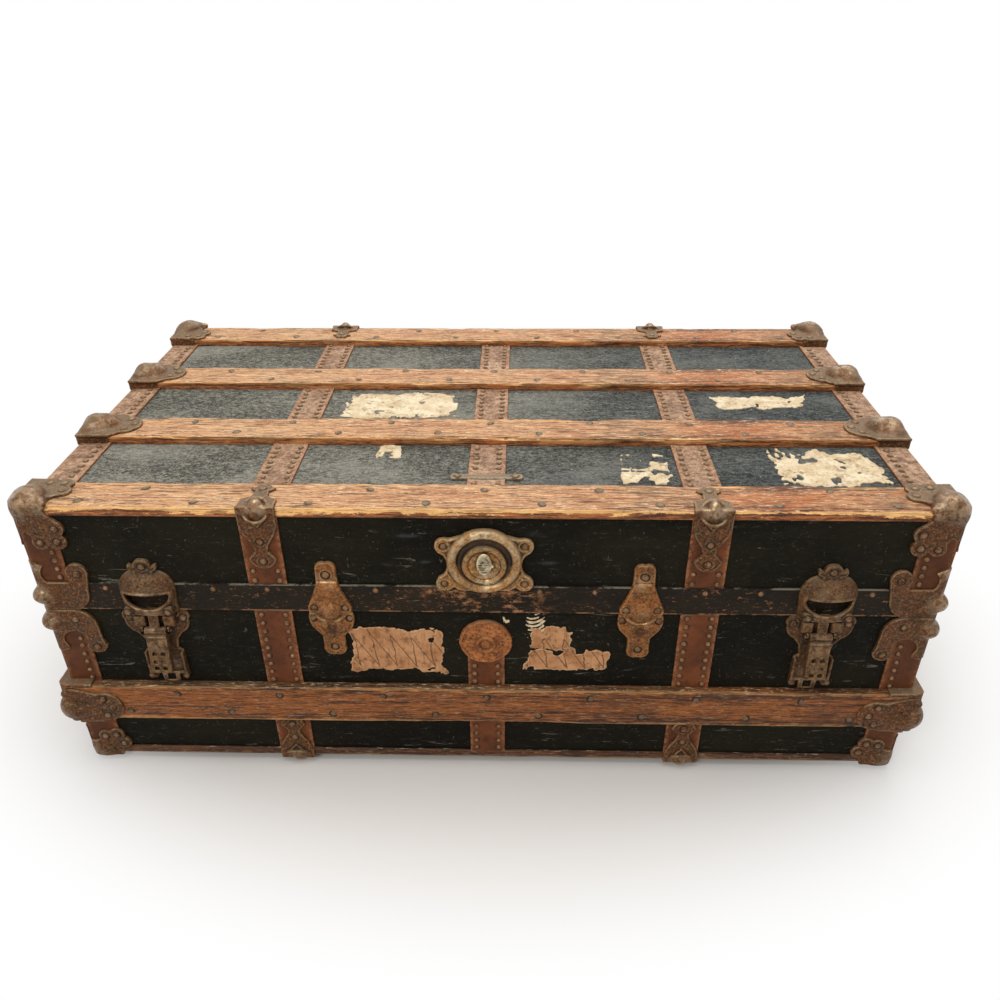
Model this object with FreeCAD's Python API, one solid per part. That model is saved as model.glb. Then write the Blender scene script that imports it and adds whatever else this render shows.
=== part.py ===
"""A flat-topped steamer trunk: a canvas-covered wooden box and hinged lid with slats and cast hardware.

Millimetres. The origin is on the floor under the middle of the trunk, the front faces -Y, and +Z is up.
"""
import FreeCAD, Part
import math
import os

V = FreeCAD.Vector

# ---------------------------------------------------------------- driving dimensions

# Box and lid, measured over the canvas
BODY_W = 910.0
BODY_D = 494.0
BOX_H = 200.0
LID_H = 114.0
RIM_GAP = 0.4

# Walls
BOARD_T = 9.0
CANVAS_T = 1.0
LINING_T = 0.6

# Vulcanised fibre and the steel rim band
FIBRE_T = 2.0
BINDING_W = 36.0
BAND_W = 39.0
BAND_X = 219.0
VALANCE_H = 33.5
BINDING_NAIL_INSET = 26.0
BAND_NAIL_OFFSET = 12.5

# Slats
SLAT_W = 49.0
SLAT_T = 10.0
LID_SLATS = 4
BOX_SLAT_RISE = 52.0
EDGE_SLAT_SHORT = 17.0

# Hardware
PLATE_T = 2.5
FOOT_DROP = 10.0
NAIL_R = 2.3
NAIL_H = 1.5
NAIL_PITCH = 11.0
RIVET_R = 3.6
RIVET_H = 1.6
SLAT_NAIL_R = 2.8
SLAT_NAIL_H = 0.7
SLAT_NAIL_PITCH = 115.0
VALANCE_NAIL_PITCH = 55.0
CORNER_KNOB_R = 19.0
CORNER_KNOB_RISE = 7.0
BAND_KNOB_R = 12.0
BOTTOM_LEG_LIFT = 7.0
SLAT_KNOB_R = 14.0
SLAT_KNOB_RISE = 11.5
FOOT_KNOB_R = 12.0
RIM_KNOB_R = 12.0
BOX_SLAT_KNOB_R = 16.0

# Latches
DRAWBOLT_X = 343.0
HOOD_DEPTH = 13.5
HOOD_WALL = 2.0
HOOD_LUG_T = 3.0
LEVER_PIVOT_DROP = 22.0
LEVER_PIVOT_OUT = 8.5
LEVER_PIN_R = 1.5
LEVER_REST_DEG = 8.0
GUIDE_X = 159.0
LOCK_R = 35.0
LOCK_RISE = 66.0
LOCK_BASE_T = 1.5
LOCK_PLATE_R = 28.0
LOCK_PLATE_DROP = 38.0
COVER_PIN_R = 1.5
STRIP_W = 74.0
STRIP_D = 10.0
STRIP_T = 1.2
STRIP_BACK = 28.0

# Hinges
HINGE_LEAF_W = 50.0
HINGE_LEAF_T = 2.2
HINGE_OUT = 6.0
HINGE_BARREL_R = 4.5
HINGE_PIN_R = 2.0
HINGE_KNUCKLE_W = 20.0
RUNNING_CLEARANCE = 0.05

# End handles
HANDLE_HALF_SPAN = 95.0
HANDLE_DROP = 55.0
HANDLE_OUT = 15.0
HANDLE_W = 23.0
HANDLE_T = 8.0
HANDLE_SAG = 35.0
HANDLE_PIN_R = 3.0
HANDLE_PIN_CLEARANCE = 0.1
HANDLE_BOSS_R = 7.5

# Inside
LIP_T = 2.0
LIP_RISE = 8.0
LIP_BELOW = 25.0
LIP_CLEARANCE = 1.0
TRAY_H = 70.0
TRAY_WALL = 6.0
TRAY_FLOOR = 4.0
TRAY_CLEARANCE = 3.0
RUNNER_W = 10.0
RUNNER_H = 12.0
RUNNER_SHORT = 40.0
TAPE_W = 25.0
TAPE_T = 1.5

# ---------------------------------------------------------------- planes worked out from them

HALF_W = BODY_W / 2
HALF_D = BODY_D / 2
FIBRE_X = HALF_W + FIBRE_T
FIBRE_Y = HALF_D + FIBRE_T
BOX_BOTTOM = FOOT_DROP + SLAT_T
SPLIT = BOX_BOTTOM + BOX_H
LID_BOTTOM = SPLIT + RIM_GAP
LID_TOP = SPLIT + LID_H
FIBRE_TOP = LID_TOP + FIBRE_T
FIBRE_BOTTOM = BOX_BOTTOM - FIBRE_T
SLAT_TOP = LID_TOP + SLAT_T
VALANCE_TOP = LID_BOTTOM + VALANCE_H
BOX_SLAT_Z = BOX_BOTTOM + BOX_SLAT_RISE
SLAT_FACE_X = HALF_W + SLAT_T
SLAT_FACE_Y = HALF_D + SLAT_T
INNER_X = HALF_W - CANVAS_T - BOARD_T - LINING_T
INNER_Y = HALF_D - CANVAS_T - BOARD_T - LINING_T
EDGE_SLAT_Y = FIBRE_Y - SLAT_W / 2
SLAT_YS = [EDGE_SLAT_Y * (2 * n / (LID_SLATS - 1) - 1) for n in range(LID_SLATS)]
BAND_XS = (-BAND_X, 0.0, BAND_X)
HINGE_Y = FIBRE_Y + HINGE_OUT
STRIP_Y = -FIBRE_Y + SLAT_W + STRIP_BACK
TRAY_X = INNER_X - LIP_T - TRAY_CLEARANCE
TRAY_Y = INNER_Y - LIP_T - TRAY_CLEARANCE
TRAY_BOTTOM = SPLIT - TRAY_H


# ---------------------------------------------------------------- small tools

def block(x0, x1, y0, y1, z0, z1):
    return Part.makeBox(x1 - x0, y1 - y0, z1 - z0, V(x0, y0, z0))


def rod(start, direction, radius, length):
    return Part.makeCylinder(radius, length, V(*start), V(*direction))


def fused(shapes):
    return shapes[0].fuse(shapes[1:]).removeSplitter()


def mirror_x(shape):
    return shape.mirror(V(0, 0, 0), V(1, 0, 0))


def mirror_y(shape):
    return shape.mirror(V(0, 0, 0), V(0, 1, 0))


def left_and_right(shapes):
    return shapes + [mirror_x(s) for s in shapes]


def front_and_back(shapes):
    return shapes + [mirror_y(s) for s in shapes]


def four_corners(shape):
    return front_and_back(left_and_right([shape]))


def across_corner(shape, corner_x, corner_y):
    """The same leaf on the end face, reflected about the corner's diagonal."""
    return shape.mirror(V(corner_x, corner_y, 0), V(1, -1, 0).normalize())


def outline(plane, start, *steps):
    """A closed face. A step of two numbers is a straight run, and of four, an arc through one point."""
    place = {
        "xz": lambda u, v: V(u, 0, v),
        "xy": lambda u, v: V(u, v, 0),
        "yz": lambda u, v: V(0, u, v),
    }[plane]
    edges = []
    here = place(*start)
    for step in steps + (start,):
        there = place(*step[-2:])
        if len(step) == 4:
            edges.append(Part.Arc(here, place(*step[:2]), there).toShape())
        elif there.distanceToPoint(here) > 1e-6:
            edges.append(Part.makeLine(here, there))
        here = there
    return Part.Face(Part.Wire(edges))


def both_sides(points):
    """An outline's right half, from top to bottom, followed by its mirror image from bottom to top."""
    left = []
    for n in range(len(points) - 1, 0, -1):
        step = points[n]
        target = points[n - 1][-2:]
        through = (-step[0], step[1]) if len(step) == 4 else ()
        left.append(through + (-target[0], target[1]))
    return list(points) + [(-points[-1][-2], points[-1][-1])] + left


def lifted(step, rise):
    """An outline's step, moved up."""
    return tuple(value + rise if n % 2 else value for n, value in enumerate(step))


def front_plate(face, x, z, y_back, y_front):
    """A face drawn in X and Z, given a thickness towards the front."""
    return face.translated(V(x, y_back, z)).extrude(V(0, y_front - y_back, 0))


def top_plate(face, x, y, z_low, z_high):
    return face.translated(V(x, y, z_low)).extrude(V(0, 0, z_high - z_low))


def dome(radius, height, centre, normal):
    """A round head with a flat seat, standing along normal."""
    ball = (radius**2 + height**2) / (2 * height)
    low = math.degrees(math.asin((ball - height) / ball))
    foot = V(*centre) - V(*normal) * (ball - height)
    return Part.makeSphere(ball, foot, V(*normal), low, 90, 360)


def disc(radius, height, centre, normal):
    """A low flat head, standing along normal."""
    return rod(centre, normal, radius, height)


def inside_any(point, boxes, margin):
    for b in boxes:
        near_x = b.XMin - margin < point[0] < b.XMax + margin
        near_y = b.YMin - margin < point[1] < b.YMax + margin
        near_z = b.ZMin - margin < point[2] < b.ZMax + margin
        if near_x and near_y and near_z:
            return True
    return False


def spread(low, high, pitch):
    """Places from low to high at about the pitch, evenly spaced."""
    count = max(1, round((high - low) / pitch))
    return [low + (high - low) * n / count for n in range(count + 1)]


def placed_on(seat, pieces):
    """One casting, hollowed to fit what it sits on."""
    casting = fused(pieces)
    return casting.cut(seat) if seat else casting


def save(name, solids):
    for solid in solids:
        if not solid.isValid() or not solid.Solids or solid.Volume <= 0:
            raise ValueError(name + " holds a solid that is not sound")
    shape = Part.makeCompound([s for solid in solids for s in solid.Solids])
    shape.exportStep("parts/" + name + ".step")
    print(name, len(shape.Solids), "solids", round(shape.Volume), "mm3")


# ---------------------------------------------------------------- walls, canvas and lining

def open_shell(half_x, half_y, closed_z, open_z, wall):
    """A thin skin with a floor or roof at closed_z and open at open_z."""
    inward = math.copysign(wall, open_z - closed_z)
    low, high = sorted((closed_z, open_z))
    inner_low, inner_high = sorted((closed_z + inward, open_z))
    outer = block(-half_x, half_x, -half_y, half_y, low, high)
    inner = block(wall - half_x, half_x - wall, wall - half_y, half_y - wall, inner_low, inner_high)
    return outer.cut(inner)


def walls(closed_z, open_z):
    """The panel that closes the shell, then the front, back, left and right boards that stand on it."""
    inward = math.copysign(1, open_z - closed_z)
    out_x = HALF_W - CANVAS_T
    out_y = HALF_D - CANVAS_T
    near = closed_z + inward * CANVAS_T
    far = near + inward * BOARD_T
    panel = block(-out_x, out_x, -out_y, out_y, *sorted((near, far)))
    front = block(-out_x, out_x, -out_y, BOARD_T - out_y, *sorted((far, open_z)))
    left = block(-out_x, BOARD_T - out_x, BOARD_T - out_y, out_y - BOARD_T, *sorted((far, open_z)))
    return panel, front, mirror_y(front), left, mirror_x(left)


def lining(closed_z, open_z):
    inward = math.copysign(CANVAS_T + BOARD_T, open_z - closed_z)
    return open_shell(INNER_X + LINING_T, INNER_Y + LINING_T, closed_z + inward, open_z, LINING_T)


# ---------------------------------------------------------------- fibre, valance and slats

def band_loop(x, front_top, back_top):
    """A strap up the front, under the bottom and up the back of the box."""
    x0, x1 = x - BAND_W / 2, x + BAND_W / 2
    strap = block(x0, x1, -FIBRE_Y, FIBRE_Y, FIBRE_BOTTOM, max(front_top, back_top))
    hollow = block(x0, x1, -HALF_D, HALF_D, BOX_BOTTOM, SPLIT)
    above_front = block(x0, x1, -FIBRE_Y, -HALF_D, front_top, SPLIT + 1)
    return strap.cut([hollow, above_front])


def box_bands():
    lock_z = SPLIT - LOCK_PLATE_DROP
    return [band_loop(-BAND_X, SPLIT, SPLIT), band_loop(0, lock_z, SPLIT), band_loop(BAND_X, SPLIT, SPLIT)]


def lid_bands():
    """Two straps over the lid, and a centre one on its top only."""
    strap = block(-BAND_W / 2, BAND_W / 2, -FIBRE_Y, FIBRE_Y, VALANCE_TOP, FIBRE_TOP)
    arch = strap.cut(block(-BAND_W / 2, BAND_W / 2, -HALF_D, HALF_D, VALANCE_TOP, LID_TOP))
    centre = block(-BAND_W / 2, BAND_W / 2, -HALF_D, HALF_D, LID_TOP, FIBRE_TOP)
    return [arch.translated(V(-BAND_X, 0, 0)), centre, arch.translated(V(BAND_X, 0, 0))]


def corner_angle(z_low, z_high):
    """One upright L-shaped corner binding, front left."""
    outer = block(-FIBRE_X, BINDING_W - FIBRE_X, -FIBRE_Y, BINDING_W - FIBRE_Y, z_low, z_high)
    return outer.cut(block(-HALF_W, BINDING_W - FIBRE_X, -HALF_D, BINDING_W - FIBRE_Y, z_low, z_high))


def end_edge_bindings(face_z, shell_z):
    """The bindings along the left and right edges of the lid's top or the box's bottom."""
    inward = math.copysign(1, shell_z - face_z)
    leg_y = FIBRE_Y - BINDING_W
    leg_z = sorted((shell_z, face_z + inward * BINDING_W))
    flat = block(-FIBRE_X, BINDING_W - FIBRE_X, -FIBRE_Y, FIBRE_Y, *sorted((face_z, shell_z)))
    leg = block(-FIBRE_X, -HALF_W, -leg_y, leg_y, *leg_z)
    return left_and_right([fused([flat, leg])])


def valance():
    outer = block(-FIBRE_X, FIBRE_X, -FIBRE_Y, FIBRE_Y, LID_BOTTOM, VALANCE_TOP)
    return outer.cut(block(-HALF_W, HALF_W, -HALF_D, HALF_D, LID_BOTTOM, VALANCE_TOP))


def long_slats(shell_z, outer_z, fibre):
    """Four slats from end to end of the lid or the bottom, notched over the fibre."""
    slats = []
    for y in SLAT_YS:
        at_edge = abs(y) > EDGE_SLAT_Y - 1
        half = HALF_W - EDGE_SLAT_SHORT if at_edge else HALF_W
        bar = block(-half, half, y - SLAT_W / 2, y + SLAT_W / 2, *sorted((shell_z, outer_z)))
        slats.append(bar.cut(fibre))
    return slats


def box_front_slats(fibre):
    bar = block(-SLAT_FACE_X, SLAT_FACE_X, -SLAT_FACE_Y, -HALF_D, BOX_SLAT_Z, BOX_SLAT_Z + SLAT_W)
    return front_and_back([bar.cut(fibre)])


def box_end_slats(fibre):
    bar = block(-SLAT_FACE_X, -HALF_W, -HALF_D, HALF_D, BOX_SLAT_Z, BOX_SLAT_Z + SLAT_W)
    return left_and_right([bar.cut(fibre)])


# ---------------------------------------------------------------- corner hardware

def lid_corner(seat):
    """A three-lobed cap on the lid's corner, with a knob, and a channel and a leaf over the edge slat."""
    t = PLATE_T
    face = outline(
        "xz", (-t, SLAT_T + t), (-t, -20), (11, -18), (12, -26), (19.5, -38, 27.5, -31.5), (28.5, -32),
        (38, -38, 45, -27), (41.5, -22.5), (46.5, -14, 38, -6.5), (36, -2), (36, SLAT_T + t),
    )
    leaf = front_plate(face, -FIBRE_X, LID_TOP, -HALF_D, -FIBRE_Y - t)
    side = SLAT_W + t
    top = outline(
        "xy", (-t, -t), (-t, side), (34, side), (46, 50, 45, 38), (43, 35), (50, 28, 42, 20), (28, 14),
        (28, -t),
    )
    top_leaf = top_plate(top, -FIBRE_X, -FIBRE_Y, SLAT_TOP, SLAT_TOP + t)
    channel = block(-FIBRE_X - t, -FIBRE_X + 33, -FIBRE_Y - t, -FIBRE_Y + side, LID_TOP, SLAT_TOP + 1)
    knob = Part.makeSphere(CORNER_KNOB_R, V(-FIBRE_X + 14, -FIBRE_Y + 13, LID_TOP + CORNER_KNOB_RISE))
    end_leaf = across_corner(leaf, -FIBRE_X, -FIBRE_Y)
    return fused([leaf, end_leaf, top_leaf, channel, knob]).cut(seat)


def bottom_corner(seat):
    """A three-lobed cap on the box's bottom corner. Its knob is cut flat where it stands on the floor."""
    t = PLATE_T
    low = -SLAT_T - t
    face = outline(
        "xz", (-t, low), (-t, 8), (8, 10), (11, 17), (20, 27, 26, 21), (34, 29.5, 41, 16), (44, 13),
        (47, 6, 40, 0), (36, -2), (36, low),
    )
    leaf = front_plate(face, -FIBRE_X, BOX_BOTTOM, -HALF_D, -FIBRE_Y - t)
    end_y = -FIBRE_Y + SLAT_W + t
    channel = block(-FIBRE_X - t, -FIBRE_X + BINDING_W, -FIBRE_Y - t, end_y, BOX_BOTTOM + low, BOX_BOTTOM)
    knob = Part.makeSphere(CORNER_KNOB_R, V(-FIBRE_X + 14, -FIBRE_Y + 13, BOX_BOTTOM - 3))
    end_leaf = across_corner(leaf, -FIBRE_X, -FIBRE_Y)
    below_floor = block(-FIBRE_X - 40, 0, -FIBRE_Y - 40, 0, -40, 0)
    return fused([leaf, end_leaf, channel, knob]).cut(seat + [below_floor])


def rim_clamp(face, knob_rise, seat):
    """A leaf on the front and one on the end, meeting at a round knob on the corner, beside the split."""
    leaf = front_plate(face, -FIBRE_X, SPLIT, -HALF_D, -FIBRE_Y - PLATE_T)
    end_leaf = across_corner(leaf, -FIBRE_X, -FIBRE_Y)
    knob = Part.makeSphere(RIM_KNOB_R, V(-FIBRE_X + 1.5, -FIBRE_Y + 1.5, SPLIT + knob_rise))
    return fused([leaf, end_leaf, knob]).cut(seat)


def lid_rim_clamp(seat):
    t = PLATE_T
    face = outline(
        "xz", (-t, RIM_GAP), (-t, 61), (14, 56), (9, 45, 13, 35), (36, 35), (36, 42), (46, 57, 56, 43),
        (51, 22), (48, 10, 38, RIM_GAP),
    )
    return rim_clamp(face, 18, seat)


def box_rim_clamp(seat):
    t = PLATE_T
    face = outline(
        "xz", (-t, 0), (30, 0), (44.5, -6.5, 51, -22), (52, -40), (55, -47), (44, -57, 33, -48), (36, -42),
        (35, -33), (23, -28, 10.5, -42), (14, -50), (13, -53), (2, -56), (-t, -50),
    )
    return rim_clamp(face, -17, seat)


def box_slat_clamp(seat):
    """Holds the ends of the front slat and the end slat where they meet at the corner."""
    t = PLATE_T
    face = outline("xz", (-t, 45), (12, 44), (36, 36), (46, 38), (63, 19, 46, 0), (34, -t), (-t, -t))
    leaf = front_plate(face, -SLAT_FACE_X, BOX_SLAT_Z, -HALF_D, -SLAT_FACE_Y - t)
    lip = block(-FIBRE_X - t, -FIBRE_X + 24, -FIBRE_Y - t, -HALF_D, BOX_SLAT_Z - 12, BOX_SLAT_Z)
    end_leaf = across_corner(leaf, -SLAT_FACE_X, -SLAT_FACE_Y)
    end_lip = across_corner(lip, -FIBRE_X, -FIBRE_Y)
    knob = Part.makeSphere(BOX_SLAT_KNOB_R, V(-SLAT_FACE_X + 5, -SLAT_FACE_Y + 5, BOX_SLAT_Z + 16))
    return fused([leaf, end_leaf, lip, end_lip, knob]).cut(seat)


def slat_end_clamp(y, knob_r, knob_rise, seat):
    """Over the left end of a slat on the lid or the bottom, seen here as on the lid."""
    t = PLATE_T
    half = SLAT_W / 2 + t
    top = outline("xy", (-t, -half), (34, -half), (44, -18), (62, 1, 44, 20), (34, half), (-t, half))
    leaf = top_plate(top, -FIBRE_X, y, SLAT_TOP, SLAT_TOP + t)
    channel = block(-FIBRE_X - t, -FIBRE_X + 34, y - half, y + half, LID_TOP, SLAT_TOP + t)
    leg = block(-FIBRE_X - t, -HALF_W, y - 20, y + 20, LID_TOP - 22, SLAT_TOP)
    outer_end = V(-FIBRE_X + 12, y, LID_TOP + knob_rise)
    length = 14
    knob = fused([
        Part.makeSphere(knob_r, outer_end),
        Part.makeSphere(knob_r, outer_end + V(length, 0, 0)),
        Part.makeCylinder(knob_r, length, outer_end, V(1, 0, 0)),
    ])
    return placed_on(seat, [leaf, channel, leg, knob])


def band_clamp(x, leg_lift, seat):
    """Over the edge slat where a band passes under it: a leg down the front, a knob and a winged leaf."""
    t = PLATE_T
    leg_points = [(19, -8), (16, -18), (7, -31), (6, -38), (13, -47), (9.5, -55, 4, -58.5)]
    right = [(19, SLAT_T + t)] + [lifted(point, leg_lift) for point in leg_points]
    leg = front_plate(outline("xz", *both_sides(right)), x, LID_TOP, -HALF_D, -FIBRE_Y - t)
    over_half = [(0, 41), (7, 40, 8, 36), (13, 34), (7, 29), (8, 19), (18, 14), (18, -t)]
    over = top_plate(outline("xy", *both_sides(over_half)), x, -FIBRE_Y, SLAT_TOP, SLAT_TOP + t)
    knob = Part.makeSphere(BAND_KNOB_R, V(x, -FIBRE_Y + 4, SLAT_TOP - 2))
    return placed_on(seat, [leg, over, knob])


def upside_down(shape):
    """The same casting turned over, from the lid's top to the box's bottom."""
    middle = (LID_TOP + BOX_BOTTOM) / 2
    return shape.mirror(V(0, 0, middle), V(0, 0, 1))


# ---------------------------------------------------------------- lock, drawbolts and guides

def lock_case(seat):
    """An arched case with four ears, a raised inner ring, a keyhole and the cover's post."""
    z = SPLIT + LOCK_RISE
    ears_half = [
        (0, 22), (33, 22), (37, 25, 45, 24), (48, 14, 43, 10), (35, -8, 42, -22), (48, -28, 44, -35),
        (37, -37, 32, -29), (24, -LOCK_R),
    ]
    base = front_plate(outline("xz", *both_sides(ears_half)), 0, z, -HALF_D, -FIBRE_Y - LOCK_BASE_T)
    case = rod((0, -HALF_D, z), (0, -1, 0), LOCK_R, 9.0)
    under = block(-LOCK_R, LOCK_R, -FIBRE_Y - 20, -HALF_D, z - LOCK_R - 5, z - LOCK_R)
    groove = rod((0, -HALF_D - 5.5, z), (0, -1, 0), 29.0, 6.0)
    inner = rod((0, -HALF_D, z - 4), (0, -1, 0), 21.0, 8.5)
    bowl = rod((0, -HALF_D - 6.5, z - 4), (0, -1, 0), 17.0, 3.0)
    keyhole = rod((0, -HALF_D - 3.0, z - 6), (0, -1, 0), 2.2, 5.0)
    slot = block(-1.1, 1.1, -HALF_D - 8.0, -HALF_D - 3.0, z - 13, z - 6)
    post = rod((0, -HALF_D - 5, z + 9), (0, -1, 0), COVER_PIN_R, 7.6)
    body = fused([base, case.cut(groove), inner])
    return fused([body.cut([under, bowl, keyhole, slot]), post]).cut(seat)


def keyhole_cover():
    """A ribbed oval drop that hangs over the keyhole."""
    z = SPLIT + LOCK_RISE
    back = -HALF_D - 8.8
    plate = front_plate(outline("xz", (0, 13), (6, 2, 0, -13), (-6, 2, 0, 13)), 0, z, back, back - 2.2)
    ribs = [block(-4.2, 4.2, back - 3.2, back - 2.2, z + k, z + k + 1.5) for k in (-6.0, -2.5, 1.0)]
    hole = rod((0, back + 1, z + 9), (0, -1, 0), COVER_PIN_R + RUNNING_CLEARANCE, 6.0)
    return fused([plate] + ribs).cut(hole)


def lock_plate(seat):
    z = SPLIT - LOCK_PLATE_DROP
    disc = rod((0, -HALF_D, z), (0, -1, 0), LOCK_PLATE_R, FIBRE_T + 1.8)
    ring = rod((0, -HALF_D, z - 3), (0, -1, 0), 10.0, FIBRE_T + 3.6)
    dish = rod((0, -HALF_D - FIBRE_T - 2.4, z - 3), (0, -1, 0), 8.2, 4.0)
    boss = dome(6.0, 1.8, (0, -HALF_D - FIBRE_T - 2.4, z - 3), (0, -1, 0))
    return fused([disc, ring.cut(dish), boss]).cut(seat)


def drawbolt_hood(x, seat):
    """A hood on the lid, open below, with an oval window that the lever's nose latches into."""
    front = -FIBRE_Y - HOOD_DEPTH
    low = RIM_GAP + 0.4
    shell_half = [(0, 52), (10, 51), (23, 44, 28, 22), (26.5, low)]
    cavity_half = [(0, 48), (9, 47), (20.5, 40, 25.5, 22), (24.5, -1)]
    shell = front_plate(outline("xz", *both_sides(shell_half)), x, SPLIT, -HALF_D, front)
    cavity = front_plate(outline("xz", *both_sides(cavity_half)), x, SPLIT, -HALF_D + 1, front + HOOD_WALL)
    window = Part.Ellipse(V(0, 0, 0), 22.0, 8.5).toShape()
    window = Part.Face(Part.Wire([window])).rotated(V(0, 0, 0), V(1, 0, 0), 90)
    opening = front_plate(window, x, SPLIT + 18, front + HOOD_WALL + 1, front - 1)
    lug_half = [(0, 64), (6, 62.5, 9.5, 56), (14, 58, 14, 52), (10, 44)]
    lug = front_plate(outline("xz", *both_sides(lug_half)), x, SPLIT, -HALF_D, -FIBRE_Y - HOOD_LUG_T)
    back = block(x - 12, x + 12, -FIBRE_Y, -HALF_D, SPLIT + 44, SPLIT + 50)
    return fused([shell.cut([cavity, opening]), lug, back]).cut(seat)


def drawbolt_base(x, seat):
    """A plate on the box with two guide loops, two cheeks for the lever's pin and a frame."""
    plate_half = [
        (0, -2), (19, -2), (22, -6), (31, -1, 34, -12), (33, -20, 24, -30), (18, -38), (16, -50), (20, -54),
        (21, -90), (16, -90), (10, -86), (9, -102),
    ]
    y0 = -HALF_D
    y1 = -HALF_D - PLATE_T
    plate = front_plate(outline("xz", *both_sides(plate_half)), x, SPLIT, y0, y1)
    tab_hole = block(x - 4, x + 4, y1 - 1, y0 + 1, SPLIT - 97, SPLIT - 89)
    pin_z = SPLIT - LEVER_PIVOT_DROP
    pin_y = y0 - LEVER_PIVOT_OUT
    pieces = [plate.cut(tab_hole)]
    for side in (-1, 1):
        inner, outer = sorted((x + side * 9, x + side * 21))
        loop = block(inner, outer, y1 - 6.5, y0, SPLIT - 17, SPLIT - 4)
        pieces.append(loop.cut(block(inner + 2, outer - 2, y1 - 4.5, y1, SPLIT - 18, SPLIT - 3)))
        inner, outer = sorted((x + side * 12.5, x + side * 15))
        web = block(inner, outer, pin_y, y0, pin_z - 5, pin_z + 5)
        eye = rod((inner, pin_y, pin_z), (1, 0, 0), 5.0, outer - inner)
        hole = rod((inner - 1, pin_y, pin_z), (1, 0, 0), LEVER_PIN_R + RUNNING_CLEARANCE, outer - inner + 2)
        pieces.append(fused([web, eye]).cut(hole))
        inner, outer = sorted((x + side * 18, x + side * 20.5))
        pieces.append(block(inner, outer, y1 - 5, y0, SPLIT - 90, SPLIT - 58))
    return fused(pieces).cut(seat)


def drawbolt_pin(x):
    pin_z = SPLIT - LEVER_PIVOT_DROP
    return rod((x - 16, -HALF_D - LEVER_PIVOT_OUT, pin_z), (1, 0, 0), LEVER_PIN_R, 32.0)


def drawbolt_lever(x):
    """A perforated channel below its pin and a tongue with a nose above it, clear of the hood at rest."""
    z = SPLIT - LEVER_PIVOT_DROP
    y = -HALF_D - LEVER_PIVOT_OUT
    wall = 2.0
    grip = block(x - 11, x + 11, y - 4, y + 4.5, z - 50, z - 5)
    grip = grip.cut(block(x - 11 + wall, x + 11 - wall, y - 4 + wall, y + 5, z - 50 + wall, z - 4))
    for row in (-27.0, -38.0, -45.5):
        for side in (-4.4, 4.4):
            grip = grip.cut(rod((x + side, y - 5, z + row), (0, 1, 0), 2.5, 4.0))
    barrel = rod((x - 11.5, y, z), (1, 0, 0), 4.0, 23.0)
    skirt = block(x - 11, x + 11, y - 4, y - 2, z - 6, z)
    tongue_y = -FIBRE_Y - HOOD_DEPTH + HOOD_WALL + 0.6
    shank = block(x - 5, x + 5, y - 2.4, y - 0.4, z, z + 16)
    tongue = block(x - 5, x + 5, tongue_y, tongue_y + 2, z + 14, z + 39)
    step = block(x - 5, x + 5, min(y - 2.4, tongue_y), y - 0.4, z + 12, z + 16)
    nose = block(x - 5, x + 5, tongue_y - 4.1, tongue_y, z + 34, z + 39)
    bore = rod((x - 12, y, z), (1, 0, 0), LEVER_PIN_R + RUNNING_CLEARANCE, 24.0)
    lever = fused([grip, barrel, skirt, shank, step, tongue, nose]).cut(bore)
    return lever.rotated(V(x, y, z), V(1, 0, 0), -LEVER_REST_DEG)


def guide_nose(x, seat):
    """The upper half of a guide: a shield with a rounded nose that reaches below the split."""
    half = [(0, 61), (8, 60, 10.5, 54), (11, 36), (17, 20), (23, 6), (22.5, RIM_GAP + 0.4)]
    plate = front_plate(outline("xz", *both_sides(half)), x, SPLIT, -HALF_D, -FIBRE_Y - PLATE_T)
    nose_half = [(0, 26), (6, 24, 8, 16), (8.5, 0), (6.5, -6, 0, -8)]
    nose = front_plate(outline("xz", *both_sides(nose_half)), x, SPLIT, -FIBRE_Y - 1, -FIBRE_Y - 9)
    return fused([plate, nose]).cut(seat)


def guide_socket(x, seat):
    """The lower half: a shield whose two ridges flank the nose."""
    half = [(0, -1), (23, -1), (23.5, -8, 21, -20), (12, -31), (12, -44), (9, -54, 0, -56)]
    plate = front_plate(outline("xz", *both_sides(half)), x, SPLIT, -HALF_D, -FIBRE_Y - 0.4)
    ridge_half = [(10.2, -3), (15, -3), (15, -16), (11, -28), (7.5, -28), (10.2, -12)]
    ridge = front_plate(outline("xz", *ridge_half), 0, SPLIT, -HALF_D, -FIBRE_Y - 6)
    return fused([plate, ridge.translated(V(x, 0, 0)), mirror_x(ridge).translated(V(x, 0, 0))]).cut(seat)


def lid_strip(seat):
    """A narrow plate screwed across the centre band, behind the front slat."""
    half_w = STRIP_W / 2
    half_d = STRIP_D / 2
    return block(-half_w, half_w, STRIP_Y - half_d, STRIP_Y + half_d, LID_TOP, FIBRE_TOP + STRIP_T).cut(seat)


# ---------------------------------------------------------------- hinges and handles

def hinge_leaf(x, z_plate, z_knuckle, on_lid, seat):
    """One leaf. The box has the two outer knuckles and the lid the middle one."""
    half = HINGE_LEAF_W / 2
    middle = HINGE_KNUCKLE_W / 2
    gap = 1.0
    y0, y1 = HALF_D, FIBRE_Y + HINGE_LEAF_T
    clear = math.copysign(HINGE_BARREL_R + 0.7, z_plate - SPLIT)
    plate = block(x - half, x + half, y0, y1, *sorted((SPLIT + clear, z_plate)))
    spans = [(-middle, middle)] if on_lid else [(-half, -middle - gap), (middle + gap, half)]
    pieces = [plate]
    for low, high in spans:
        arm = block(x + low, x + high, FIBRE_Y, y1, *sorted((z_knuckle, SPLIT + clear)))
        barrel = rod((x + low, HINGE_Y, SPLIT), (1, 0, 0), HINGE_BARREL_R, high - low)
        pieces += [arm, barrel]
    bore = rod((x - half - 1, HINGE_Y, SPLIT), (1, 0, 0), HINGE_PIN_R + RUNNING_CLEARANCE, HINGE_LEAF_W + 2)
    return fused(pieces).cut([bore] + seat)


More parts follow.
